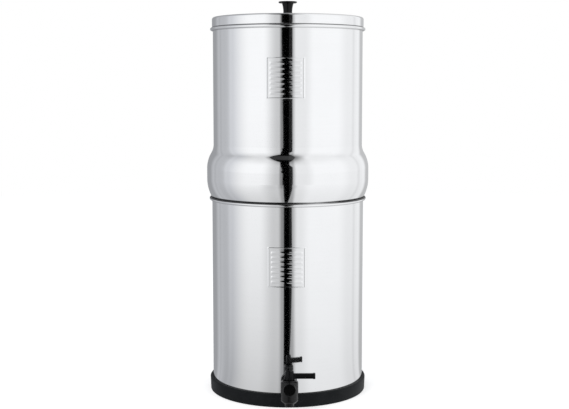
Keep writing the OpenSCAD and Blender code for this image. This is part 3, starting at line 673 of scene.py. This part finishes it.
def upper_side(t, row, sweep):
    """The bulge's folds from the foot to the neck and the wall above, t deeper than the outside."""
    return (arc(foot_fold, FOLD_R - t, -90, -belly_turn, SMALL_FOLD)
            + arc(belly, belly_r - t, -belly_turn, 0, sweep)
            + arc(shoulder, SHOULDER_R - t, 0, neck_turn, sweep)
            + arc(neck, NECK_R + t, 180 + neck_turn, 180, sweep)
            + wall(upper_r - t, neck[1], upper_rim - BEAD_R, panel_band(upper_panel, row)))


def upper_floor(z):
    """The floor's points from the axis to the collar's corner, with rows beside the stem holes."""
    return [(r, z) for r in (0, *floor_rows, collar[0] - NEAR)]


upper_outline = (
    upper_floor(upper_z)
    + arc(collar, COLLAR_CORNER, -90, 0, SMALL_FOLD) + arc(seat_fold, FOLD_R, 180, 90, SMALL_FOLD)
    + upper_side(0, FINE_ROW, SWEEP) + rolled_rim(upper_r, upper_rim, SMALL_FOLD)
    + upper_side(SHEET, COARSE_ROW, INNER_SWEEP)[::-1]
    + arc(seat_fold, FOLD_R + SHEET, 90, 180, SMALL_FOLD)
    + arc(collar, COLLAR_CORNER - SHEET, 0, -90, SMALL_FOLD)
    + upper_floor(upper_z + SHEET)[::-1])
upper_mesh = spun(upper_outline, finishes["polished_steel"], pressed_spin, **WALL_COLUMNS, **PRESS,
                  Wall_Radius=upper_r * MM, Panel_Level=upper_panel * MM,
                  Panel_Turn=math.radians(UPPER_PANEL_TURN))
upper_mesh = cut(upper_mesh, [rod(STEM_R + HOLE_PLAY, FLOOR_DRILL, Matrix.Translation((x, y, upper_z - 1.5)))
                              for x, y in STATIONS.values()])
show("upper_vessel", upper_mesh, "upper", "polished_steel", "upper_chamber")

# %% [markdown]
# ## Lid, knob and foot ring
#
# The lid is one pressing: a shallow dished top, a skirt that stands on the rim, and a plug that drops inside
# it. The knob is a moulded trumpet. The ring is moulded rubber with a flat top, rounded corners and a ledge
# that the lower vessel stands on. Their outlines are short, so they are written out, and every corner that a
# mould or press would soften gets a rounding.

# %% Lid
PLUG_PLAY, PLUG_DROP, LID_CORNER, KNOB_HOLE = 0.9, 11.6, 3.0, 2.9
STEP_R, STEP, STEP_SOFT = 87.0, 0.8, 2.0
lid_seat, dish = upper_rim + GAP, lid_top - STEP
plug_r, plug_end = upper_r - SHEET - PLUG_PLAY, upper_rim - PLUG_DROP
top_corner = (lid_r - LID_CORNER, lid_top - LID_CORNER)
skirt_fold, plug_fold = (lid_r - FOLD_R, lid_seat + FOLD_R), (plug_r + FOLD_R, lid_seat - FOLD_R)


def lid_top_side(t):
    """The dished top and its step, t below the outer face."""
    return rounded([(KNOB_HOLE, dish - t), (STEP_R - 2 * STEP, dish - t, STEP_SOFT),
                    (STEP_R, lid_top - t, STEP_SOFT), (top_corner[0], lid_top - t)])


lid_outline = (
    lid_top_side(0)[:-1] + [(top_corner[0] - NEAR, lid_top)]
    + arc(top_corner, LID_CORNER, 90, 0) + wall(lid_r, skirt_fold[1], top_corner[1])[::-1]
    + arc(skirt_fold, FOLD_R, 0, -90) + arc(plug_fold, FOLD_R, 90, 180)
    + [(plug_r, plug_fold[1] - NEAR), (plug_r, plug_end), (plug_r - SHEET, plug_end),
       (plug_r - SHEET, plug_fold[1] - NEAR)]
    + arc(plug_fold, FOLD_R + SHEET, 180, 90) + arc(skirt_fold, FOLD_R - SHEET, -90, 0)
    + wall(lid_r - SHEET, skirt_fold[1], top_corner[1])
    + arc(top_corner, LID_CORNER - SHEET, 0, 90) + lid_top_side(SHEET)[::-1] + [(KNOB_HOLE, dish)])
lid_mesh = spun(lid_outline, finishes["polished_steel"], columns=240)
show("lid", lid_mesh, "lid", "polished_steel", "lid_pan")

# %% Knob
KNOB_H, KNOB_R, RIM_T, EDGE_R, WAIST_H, WAIST_R, FLARE = 24.1, 13.0, 3.0, 1.2, 8.8, 6.3, 1.65
KNOB_FOOT_R, KNOB_FOOT_H, ROOT_R, BORE_R, BORE_H = 9.0, 1.5, 3.0, 2.55, 13.0
knob_z = knob_box[0][2]
knob_rim = KNOB_H - RIM_T
flare_h = knob_rim - EDGE_R - WAIST_H
flare_r = (flare_h ** 2 + FLARE ** 2) / (2 * FLARE)
flare_turn = math.degrees(math.asin(flare_h / flare_r))
knob_outline = (
    rounded([(BORE_R, 0), (KNOB_FOOT_R, 0, 0.3), (KNOB_FOOT_R, KNOB_FOOT_H, 0.5),
             (WAIST_R + ROOT_R / 2, KNOB_FOOT_H)])[:-1]
    + arc((WAIST_R + ROOT_R, WAIST_H - KNOB_FOOT_H), ROOT_R, 240, 180)
    + arc((WAIST_R + flare_r, WAIST_H), flare_r, 180, 180 - flare_turn, SWEEP)
    + arc((WAIST_R + FLARE + EDGE_R, knob_rim - EDGE_R), EDGE_R, 180 - flare_turn, 90)
    + arc((KNOB_R - EDGE_R, knob_rim + EDGE_R), EDGE_R, -90, 60)
    + [(KNOB_R / 2, KNOB_H - 0.3), (3.0, KNOB_H - 0.1), (0, KNOB_H),
       (0, BORE_H), (BORE_R, BORE_H), (BORE_R, 0)])
knob_mesh = spun([(r, z + knob_z) for r, z in knob_outline], finishes["knob_plastic"])
show("lid_grip", knob_mesh, "lid", "knob_plastic", "lid_knob")

# %% Foot ring
LEDGE_W, LEDGE, RING_DRAFT = 16.0, 8.0, 0.7
seat_r, ring_in = lower_r + GAP, lower_r - LEDGE_W
ring_outline = rounded([(ring_in, LEDGE / 2), (ring_in, 0, 0.8), (ring_r - RING_DRAFT, 0, 1.2),
                        (ring_r, ring_top, 1.8), (seat_r, ring_top, 0.3), (seat_r, LEDGE),
                        (ring_in, LEDGE, 0.8), (ring_in, LEDGE / 2)], 8)
ring_mesh = spun(ring_outline, finishes["black_rubber"], columns=240)
show("foot_ring", ring_mesh, "base", "black_rubber", "base_ring")

# %% [markdown]
# ## Tap
#
# The tap is one black moulding: barrel, neck, flange, nozzle, a round boss in front and a thin web under the
# neck. Where a mould joins such forms, it leaves soft fillets. Joining closed forms, remeshing them into one
# skin and smoothing it gives those fillets at once. The bores and the round recess are cut afterwards, so
# they stay crisp. The threaded shank is a piece of its own, because the remesh would wipe the thread out.


# %% Mould closed forms into one skin
def mesh_of(work, name):
    """The bmesh as a mesh, and the bmesh freed."""
    made = bpy.data.meshes.new(name)
    work.to_mesh(made)
    work.free()
    return made


def moulded(parts, finish, voxel, passes):
    """One smooth skin over closed forms. voxel is in millimetres."""
    work = bmesh.new()
    for part in parts:
        work.from_mesh(part)
    holder = new_object("moulded", mesh_of(work, "joined"))
    skin = holder.modifiers.new("skin", "REMESH")
    skin.mode, skin.voxel_size = "VOXEL", voxel * MM
    soften = holder.modifiers.new("soften", "SMOOTH")
    soften.factor, soften.iterations = 0.5, passes
    made = keep_result(holder)
    made.materials.clear()
    made.materials.append(finish)
    return made


# %% Blocks, plates and forms on an axis of their own
def block(low, high, bevel):
    """A closed block between two corners in millimetres, with rounded edges."""
    work = bmesh.new()
    size = Vector(high) - Vector(low)
    middle = (Vector(high) + Vector(low)) / 2
    stretch = Matrix.Translation(middle * MM) @ Matrix.Diagonal(size.to_4d())
    bmesh.ops.create_cube(work, size=MM, matrix=stretch)
    bmesh.ops.bevel(work, geom=work.edges[:], offset=bevel * MM, segments=3, profile=0.5, affect="EDGES")
    return mesh_of(work, "block")


def plate(outline, half_width):
    """A closed plate: an outline of (depth in front, height) in millimetres, across the middle plane."""
    work = bmesh.new()
    left, right = ([work.verts.new((x * MM, -y * MM, z * MM)) for y, z in outline]
                   for x in (-half_width, half_width))
    work.faces.new(left)
    work.faces.new(right[::-1])
    for i in range(len(outline)):
        j = (i + 1) % len(outline)
        work.faces.new((left[i], right[i], right[j], left[j]))
    return close_up(mesh_of(work, "plate"))


def placed(outline, x, y, finish=None, **options):
    """A spun form whose axis stands at x and y, in millimetres."""
    made = spun(outline, finish, **options)
    made.transform(Matrix.Translation((x * MM, y * MM, 0)))
    return made


def upright(radius, low, high):
    """A rod on the valve's axis."""
    return rod(radius, high - low, Matrix.Translation((0, -valve_y, low)))


# %% Tap moulding
NOZZLE_R, NOZZLE_H, OUTLET_R, THROAT_R = 6.2, 3.2, 4.5, 10.6
BARREL_R, BARREL_DROP, BARREL_RISE = 11.8, 16.0, 10.2
FLANGE_R, FLANGE_START, FLANGE_END, WEB_DROP, WEB_HALF = 11.0, 2.4, 5.0, 8.8, 1.5
BOSS_RISE, BOSS_REACH, BOSS_WALL, RECESS_R, RECESS_DEPTH = 0.7, 12.3, 1.2, 7.3, 1.1
VALVE_R, VALVE_DROP, GLAND_R, GLAND_RISE, WATERWAY_R = 8.0, 14.0, 8.65, 7.5, 4.0
nozzle_z, foot_z, barrel_top = tap_box[0][2], shank_level - BARREL_DROP, shank_level + BARREL_RISE
flange_y, flange_end = lower_r + FLANGE_START, lower_r + FLANGE_END
boss_level, boss_y = shank_level + BOSS_RISE, valve_y + BOSS_REACH
bore_floor, web_y = shank_level - VALVE_DROP, valve_y - BARREL_R / 2
barrel = rounded([(0, nozzle_z), (NOZZLE_R, nozzle_z, 0.3), (NOZZLE_R, nozzle_z + NOZZLE_H, 1.0),
                  (THROAT_R, foot_z - 1.4, 1.2), (BARREL_R, foot_z + 0.3, 1.6), (BARREL_R, barrel_top, 2.4),
                  (0, barrel_top)])
tap_parts = [
    placed(barrel, 0, -valve_y),
    rod(SHANK_R, valve_y - flange_y, forward(flange_y, shank_level)),
    rod(FLANGE_R, flange_end - flange_y, forward(flange_y, shank_level)),
    rod(RECESS_R + BOSS_WALL, boss_y - valve_y, forward(valve_y, boss_level)),
    plate([(flange_end - 1.3, shank_level), (flange_end - 1.3, shank_level - WEB_DROP),
           (web_y, foot_z + 1.6), (web_y, shank_level)], WEB_HALF)]
tap_mesh = cut(moulded(tap_parts, finishes["tap_plastic"], 0.42, 5), [
    rod(RECESS_R, 3, forward(boss_y - RECESS_DEPTH, boss_level), 64),
    rod(WATERWAY_R, valve_y - flange_y + 2, forward(flange_y - 2, shank_level)),
    upright(VALVE_R, bore_floor, barrel_top + 1),
    upright(GLAND_R, shank_level + GLAND_RISE, barrel_top + 1),
    upright(OUTLET_R, nozzle_z - 1, bore_floor + 1)])
show("tap_moulding", tap_mesh, "base", "tap_plastic", "tap_body")

# %% Disc in the boss
DISC_R, DISC_T, DISC_SUNK = 7.2, 0.55, 1.15
disc_outline = rounded([(0, 0), (DISC_R, 0), (DISC_R, DISC_T, 0.25), (5.2, DISC_T, 0.2), (4.8, 0.25, 0.2),
                        (4.4, DISC_T, 0.2), (1.5, 0.6, 0.3), (0, 0.35)])
disc_mesh = spun(disc_outline, finishes["disc_plastic"], columns=64)
disc_mesh.transform(in_metres(forward(boss_y - DISC_SUNK, boss_level)))
show("tap_boss_disc", disc_mesh, "base", "knob_plastic", "tap_body")

# %% Threaded shank
SHANK_INSIDE, SHANK_OVERLAP, NECK_PLAIN = 19.0, 0.6, 2.6
THREAD_ROW = 0.25
shank_start = lower_r - SHEET - SHANK_INSIDE
shank_length = flange_y + SHANK_OVERLAP - shank_start
thread_rows = [(SHANK_R, 1.0 + i * THREAD_ROW) for i in range(int((shank_length - 4) / THREAD_ROW))]
shank_outline = ([(WATERWAY_R, 0), (SHANK_R - 1.0, 0), (SHANK_R - 0.2, 0.8)] + thread_rows
                 + [(SHANK_R - 0.6, shank_length - NECK_PLAIN), (SHANK_R - 0.6, shank_length),
                    (WATERWAY_R, shank_length), (WATERWAY_R, 0)])
shank_mesh = spun(shank_outline, finishes["tap_plastic"], threaded_spin, columns=72, Wall_Radius=SHANK_R * MM,
                  Thread_Pitch=2.0 * MM, Thread_Depth=0.9 * MM)
shank_mesh.transform(in_metres(forward(shank_start, shank_level)))
show("tap_shank", shank_mesh, "base", "tap_plastic", "tap_body")

# %% [markdown]
# ## Lever
#
# The lever has a tapered hub with grip grooves, which fade out as the hub gets thinner, and a flat bar that
# is hollowed on both faces and ends in a small thumb pad. The grooves repeat, so the spinning tree cuts them.

# %% Lever
LEVER_LEN, LEVER_H, LEVER_T, BAR_RISE, PAD, PROUD = 34.3, 7.0, 4.6, 1.2, 3.4, 0.4
BORDER, HOLLOW, HOLLOW_START, HUB_R, HUB_TAPER, STEM_SOCKET = 1.3, 0.9, 8.3, 7.3, 1.8, 4.25
hub_z = lever_box[0][2]
bar_z, half_t = hub_z + BAR_RISE, LEVER_T / 2
hub_rows = [(0, 0), (HUB_R - 0.4, 0), (HUB_R, 0.4)] + [(HUB_R - HUB_TAPER * i / 12, i) for i in range(1, 12)]
hub_rows += [(5.1, 11.9), (4.4, 12), (0, 12)]
hub = placed([(r, z + hub_z) for r, z in hub_rows], 0, -valve_y, tree=grooved_spin, columns=288, Grooves=12,
             Groove_Radius=0.9 * MM, Groove_Circle=7.0 * MM, Wall_Radius=0.0)
bar = block((3.0, -valve_y - half_t, bar_z), (LEVER_LEN - PAD / 2, -valve_y + half_t, bar_z + LEVER_H), 0.5)
pad = block((LEVER_LEN - PAD, -valve_y - half_t - PROUD, bar_z - PROUD),
            (LEVER_LEN, -valve_y + half_t + PROUD, bar_z + LEVER_H + PROUD), 0.8)
hollows = [block((HOLLOW_START, -valve_y + side * half_t - HOLLOW, bar_z + BORDER),
                 (LEVER_LEN - PAD - BORDER, -valve_y + side * half_t + HOLLOW, bar_z + LEVER_H - BORDER), 0.35)
           for side in (-1, 1)]
lever_mesh = moulded([hub, cut(bar, hollows), pad], finishes["lever_plastic"], 0.24, 2)
lever_mesh = cut(lever_mesh, [upright(STEM_SOCKET, hub_z - 1, hub_z + 9.0)])
show("tap_handle", lever_mesh, "tap_valve", "tap_plastic", "tap_lever")

# %% [markdown]
# ## Filter candles and their fittings
#
# Two ceramic candles stand on the upper floor. Each is glued into a moulded cup whose hollow threaded stem
# goes through the floor, where a wing nut pulls it down on a washer. The two holes that carry no candle are
# closed by plugs with the same stem. These are hidden in use, but they show as soon as the upper vessel is
# lifted.

# %% Candle outline
WASHER_T, CUP_FLOOR = 2.2, 5.0
CANDLE_R, CANDLE_WALL, CANDLE_H, DOME_R, CROWN = 24.9, 7.0, 173.0, 15.0, 2.0
cup_z = upper_z + SHEET + WASHER_T
shell_z = cup_z + CUP_FLOOR
candle_in, candle_top = CANDLE_R - CANDLE_WALL, shell_z + CANDLE_H
dome = (CANDLE_R - DOME_R, candle_top - CROWN - DOME_R)
candle_outline = (
    rounded([(candle_in, shell_z), (CANDLE_R, shell_z, 0.6), (CANDLE_R, shell_z + 20)])
    + [(CANDLE_R, dome[1] - NEAR)] + arc(dome, DOME_R, 0, 80, SWEEP)
    + [(5, candle_top - 0.3), (0, candle_top), (0, candle_top - CANDLE_WALL)]
    + arc(dome, DOME_R - CANDLE_WALL, 80, 0) + [(candle_in, shell_z)])

# %% Cup and plug outlines
STEM_PITCH, STEM_ROW, STEM_BORE, STEM_DEPTH = 1.75, 0.22, 2.5, 0.75
CUP_PLAY, CUP_REACH, CUP_H, HEAD_R, HEAD_H, HOLLOW_H = 0.05, 1.65, 14.0, 12.0, 4.0, 3.2
stem_end, plug_stem_end = upper_z - 33.0, upper_z - 16.5
cup_in, cup_out, cup_top = CANDLE_R + CUP_PLAY, CANDLE_R + CUP_REACH, cup_z + CUP_H
head_top, hollow_z = cup_z + HEAD_H, cup_z + HOLLOW_H


def stem(low, high):
    """A stem from its chamfered end up, with rows close enough to carry a thread below a plain neck."""
    count = int((high - low - 2) / STEM_ROW)
    return ([(STEM_R - 0.7, low), (STEM_R - 0.1, low + 0.6)]
            + [(STEM_R, low + 0.7 + i * STEM_ROW) for i in range(count)] + [(STEM_R - 0.01, high)])


cup_outline = ([(STEM_BORE, stem_end)] + stem(stem_end, cup_z)
               + rounded([(STEM_R, cup_z), (cup_out, cup_z, 1.2), (cup_out, cup_top, 0.6),
                          (cup_in, cup_top, 0.2), (cup_in, shell_z), (STEM_BORE, shell_z)])[1:]
               + [(STEM_BORE, stem_end)])
plug_outline = ([(0, plug_stem_end)] + stem(plug_stem_end, cup_z)
                + rounded([(STEM_R, cup_z), (HEAD_R, cup_z, 0.5), (HEAD_R, head_top, 1.4), (4, head_top, 1.0),
                           (3, hollow_z), (0, hollow_z)])[1:])

# %% Candles, cups and plugs in their places
THREAD = {"tree": threaded_spin, "columns": 64, "Wall_Radius": STEM_R * MM, "Thread_Pitch": STEM_PITCH * MM,
          "Thread_Depth": STEM_DEPTH * MM}
CANDLE_SET = [("candle_ceramic_", "white_ceramic", "candle_shell_", candle_outline, {}),
              ("candle_cup_", "white_plastic", "candle_mount_", cup_outline, THREAD)]
PLUG_SET = [("stopper_", "white_plastic", "blank_plug_", plug_outline, THREAD)]
for side, (x, y) in STATIONS.items():
    fittings = CANDLE_SET if side in ("left", "right") else PLUG_SET
    for label, slot, node, outline, options in fittings:
        show(label + side, placed(outline, x, y, finishes[slot], **options), "upper", slot, node + side)

# %% Wing nuts
WING_H, WING_SPAN, WING_T, WING_SET, NUT_R = 9.0, 38.0, 4.0, 1.0, 9.0
NUT_TURN = {"left": 180, "right": 0, "front": 270, "back": 90}
nut_z, wing_top, wing_end = upper_z - WING_H, upper_z - WING_SET, WING_SPAN / 2 - WING_T
wing_tip = rounded([(0, nut_z), (WING_T, nut_z, 1.4), (WING_T, wing_top, 1.4), (0, wing_top)])
nut_hub = rounded([(0, nut_z), (NUT_R, nut_z, 1.0), (NUT_R, upper_z, 0.3), (0, upper_z)])
nut_parts = [spun(nut_hub, None, columns=64),
             block((-wing_end, -WING_T / 2, nut_z), (wing_end, WING_T / 2, wing_top), 0.6)]
nut_parts += [placed(wing_tip, side * wing_end, 0, columns=48) for side in (-1, 1)]
nut_mesh = moulded(nut_parts, finishes["white_plastic"], 0.45, 4)
nut_mesh = cut(nut_mesh, [rod(STEM_R + 0.05, WING_H + 2, Matrix.Translation((0, 0, nut_z - 1)))])
for side, (x, y) in STATIONS.items():
    mesh = nut_mesh.copy()
    turned = Matrix.Rotation(math.radians(NUT_TURN[side]), 4, "Z")
    mesh.transform(Matrix.Translation((x * MM, y * MM, 0)) @ turned)
    kind = "candle_nut_" if side in ("left", "right") else "blank_nut_"
    show("wing_nut_" + side, mesh, "upper", "white_plastic", kind + side)

# %% [markdown]
# ## Small solids that stay as they are
#
# Washers, seals, the valve plug, the nut, the gland, the carbon blocks and the screw already have their true
# shape in the frame. They only need their finish. A solid's mesh is never touched: its material slots are
# filled instead. The record names a slot for each solid, and the finishes have the slots' names.

# %% Finishes for the kept solids
slot_of_node = {part["node"]: part["material_slot"] for part in frame["record"]["subparts"]}
for name, solid in frame["nodes"].items():
    solid.data.materials.clear()
    solid.data.materials.append(finishes[slot_of_node[name]])
print("kept solids:", sorted(n for n, o in frame["nodes"].items() if not o.hide_render))

# %% [markdown]
# ## Camera
#
# The camera stands level with the upper vessel, about one and a half metres away, and looks slightly down. A
# long lens keeps the walls nearly straight. Its place is worked out from its distance, its height and its
# turn round the object, in metres.

# %% Camera
FOCAL_PX, WIDTH_PX, SENSOR = 1100.0, 569.0, 36.0
distance, eye, pitch, azimuth, aside = 1.572, 0.4368, math.radians(6.18), math.radians(-0.76), 0.0046
lens = bpy.data.cameras.new("camera")
lens.sensor_width, lens.lens = SENSOR, FOCAL_PX / WIDTH_PX * SENSOR
camera = new_object("camera", lens)
camera.rotation_euler = (math.pi / 2 - pitch, 0, azimuth)
camera.location = (math.sin(azimuth) * distance - math.cos(azimuth) * aside,
                   -math.cos(azimuth) * distance - math.sin(azimuth) * aside, eye)
bpy.context.scene.camera = camera
print("lens", round(lens.lens, 2), "mm at", tuple(round(v, 4) for v in camera.location))

# %% [markdown]
# ## Studio
#
# Polished steel shows its room, so the room is the look. It is a white studio with soft falloff to the back,
# and one dark opening behind the camera, which gives the upright black stripe. The room is a function of
# direction: the world shows it to reflections, and the floor repeats it by place, because the lower wall
# looks down at the floor. The camera itself sees plain white, and the light that falls on matt surfaces is
# even and plain.


# %% The room as a function of direction
BACK_LEVEL = 0.35
STEPS = [(-146.0, -131.0, 0.16), (-116.0, -57.0, 0.49), (78.0, 104.0, -0.1), (137.0, 148.0, -0.34),
         (168.0, 180.0, -0.2)]
BANDS = [(-126.0, 5.0, -0.05), (-99.0, 7.0, 0.055), (119.0, 6.5, -0.09), (134.0, 7.0, 0.03)]
OPENING_EDGE, OPENING_GLOW = 0.5, 0.016


def room(graph, bearing, left, right, falls, rises, haze=0.0):
    """The brightness of the room at a bearing in degrees, 0 at the front and positive to the right. It starts
    from the level at the back: a step is (from, to, change), and a band (middle, reach, change). The dark
    opening goes from left to right. Each fall is a grey step on its left, and each rise one on its right:
    they are (from, to, depth). Haze is the light inside the opening."""
    ease, hump = graph.ease, graph.hump
    open_room = BACK_LEVEL
    for low, high, change in STEPS:
        open_room = open_room + change * ease(bearing, low, high)
    for middle, reach, change in BANDS:
        open_room = open_room + change * hump(bearing, middle, reach)
    for low, high, depth in falls:
        open_room = open_room * (1 - depth * ease(bearing, low, high) * (bearing < 0.0))
    for low, high, depth in rises:
        open_room = open_room * (1 - depth * (1 - ease(bearing, low, high)) * (bearing > 0.0))
    past_left = ease(bearing, left - OPENING_EDGE, left + OPENING_EDGE)
    inside = past_left * (1 - ease(bearing, right - OPENING_EDGE, right + OPENING_EDGE))
    return open_room * (1 - inside) + inside * (haze + OPENING_GLOW * ease(bearing, 0.5, 2.0))


# %% Bearing, shade and tint
def bearing_of(graph, vector):
    """A vector's bearing in degrees, and its three parts."""
    parts = graph.node("ShaderNodeSeparateXYZ", {}, {0: vector})
    turned = graph.maths("ARCTAN2", parts.other("X"), 0 - parts.other("Y"))
    return graph.maths("DEGREES", turned), parts


def shade_of(graph, bearing):
    """How much darker the ground is right beside the object, most of all on the left."""
    return (0.43 - 0.23 * graph.ease(bearing, -20.0, 20.0)) * graph.ease(bearing, -130.0, -92.0)


def tint_of(graph, bearing):
    """The left of the room is a little cooler than the rest."""
    return graph.blend(graph.ease(bearing, -95.0, -68.0), rgb(0.965, 0.985, 1.035), rgb(0.988, 0.996, 1.012))


# %% [markdown]
# The world is the room at every rise, the third part of a direction, from -1 straight down to 1 straight up.
# The opening widens and the room dims overhead, where the bulge and the lid look. Rays that aren't
# reflections meet one plain level.

# %% World
PLAIN_LEVEL = 0.5
world = bpy.data.worlds.new("studio")
bpy.context.scene.world = world
world.use_nodes = True
sky = Graph(world.node_tree)
bearing, parts = bearing_of(sky, sky.node("ShaderNodeTexCoord", output="Generated"))
rise = parts.other("Z")
lift = sky.maths("MAXIMUM", rise - 0.62, 0.0)
left_edge = -9.0 - 30.0 * rise * sky.hump(rise, 0.0, 0.14) - 4.0 * sky.ease(rise, 0.15, 0.6) - 130.0 * lift
right_edge = 6.2 - 4.4 * sky.ease(rise, 0.33, 0.5) + 58.0 * lift
overhead = sky.ease(rise, 0.45, 0.85)
level = room(sky, bearing, left_edge, right_edge,
             [(-39.0, -14.5, 0.39), (-13.8, -10.5, 0.6), (left_edge - 14, left_edge, 0.5 * overhead)],
             [(24.0, 40.0, 0.14), (6.3, 11.8, 0.45), (right_edge - 4, right_edge + 26, 0.75 * overhead)],
             0.05 * sky.ease(rise, 0.7, 0.77))
level = level * (1 - (0.24 - 0.13 * sky.ease(bearing, -20.0, 40.0)) * sky.ease(rise, 0.35, 0.8))
level = level * (1 - 0.17 * shade_of(sky, bearing) * (1 - sky.ease(rise, -0.11, -0.02)))
ray = sky.node("ShaderNodeLightPath", output="Is Camera Ray")
glossy = ray.other("Is Glossy Ray")
strength = ray + (1 - ray) * (level * glossy + (1 - glossy) * PLAIN_LEVEL)
background = world.node_tree.nodes["Background"]
sky.link(sky.blend(ray, tint_of(sky, bearing), rgb(1, 1, 1)), background.inputs["Color"])
sky.link(strength, background.inputs["Strength"])
print("world nodes:", len(world.node_tree.nodes))

# %% [markdown]
# The floor shows the same room to reflections, laid out by place. A ray that leaves a round wall meets the
# floor at a bearing that differs a little from its own, by half the wall's radius over the distance, and turn
# makes up for that. Beside the object the floor is shaded, and the camera sees it a little brighter than it
# is lit.

# %% Floor
FLOOR_R, FLOOR_GLOW, SHADE_REACH = 3.0, 0.58, 0.6
WALL_R = 0.108
work = bmesh.new()
bmesh.ops.create_circle(work, cap_ends=True, segments=128, radius=FLOOR_R)
floor_mesh = mesh_of(work, "floor")
floor = new_object("floor", floor_mesh)
paint, ground, matt, spot = start_finish("studio_floor", Base_Color=rgb(0.8, 0.8, 0.8), Roughness=0.9,
                                         Specular_IOR_Level=0.0, Emission_Color=rgb(1, 1, 1))
bearing, parts = bearing_of(ground, spot)
ahead = 0 - parts.other("Y")
reach = ground.node("ShaderNodeVectorMath", {"operation": "LENGTH"}, {0: spot}, "Value")
turn = 1 + WALL_R / 2 / reach
left_edge = ground.maths("DEGREES", ground.maths("ARCTAN2", 0.0036 - 0.117 * ahead, ahead)) * turn
right_side = ground.maths("MINIMUM", 0.124 * ahead - 0.0387, 0.02 + 0.081 * ahead)
right_edge = ground.maths("DEGREES", ground.maths("ARCTAN2", right_side, ahead)) * turn
bearing = bearing * turn
away = reach - WALL_R
near = 1 - shade_of(ground, bearing) * (SHADE_REACH / (SHADE_REACH + away))
far = ground.ease(away, 0.8, 1.6)
mirrored = room(ground, bearing, left_edge, right_edge,
                [(-45.0, -20.0, 0.2 + 0.12 * ground.ease(away, 0.2, 1.6)), (-15.5, -9.0, 0.45 + 0.15 * far)],
                [(16.0, 34.0, 0.13), (5.2, 12.0 + 2.0 * far, 0.5)]) * near

# %% The floor's two paints
ray = ground.node("ShaderNodeLightPath", output="Is Camera Ray")
ground.link(ray * FLOOR_GLOW, matt.inputs["Emission Strength"])
mirror_paint = ground.node("ShaderNodeEmission", {}, {"Color": tint_of(ground, bearing), "Strength": mirrored})
both = ground.node("ShaderNodeMixShader", {}, {
    0: ray.other("Is Glossy Ray"), 1: Value(ground, matt.outputs[0]), 2: mirror_paint})
ground.link(both, paint.node_tree.nodes["Material Output"].inputs["Surface"])
floor_mesh.materials.append(paint)
print("floor:", round(floor.dimensions.x, 2), "m across,", len(paint.node_tree.nodes), "nodes")


# %% Soft lamps
def soft_lamp(name, place, aim, size, power):
    """A large square lamp that lights matt surfaces and stays out of the mirror."""
    lamp = bpy.data.lights.new(name, "AREA")
    lamp.size, lamp.energy = size, power
    made = new_object(name, lamp)
    made.location = place
    made.rotation_euler = (Vector(aim) - Vector(place)).to_track_quat("-Z", "Y").to_euler()
    made.visible_glossy = False
    made.visible_camera = False


soft_lamp("key_lamp", (-1.6, -1.8, 1.9), (0, 0, 0.25), 1.6, 22.0)
soft_lamp("fill_lamp", (1.9, -1.4, 1.3), (0, 0, 0.25), 1.6, 12.0)
print("lamps:", {lamp.name: lamp.energy for lamp in bpy.data.lights})

# %% [markdown]
# ## Last lines
#
# The colours are shown as they are written.

# %% Finish
bpy.context.scene.view_settings.view_transform = "Standard"
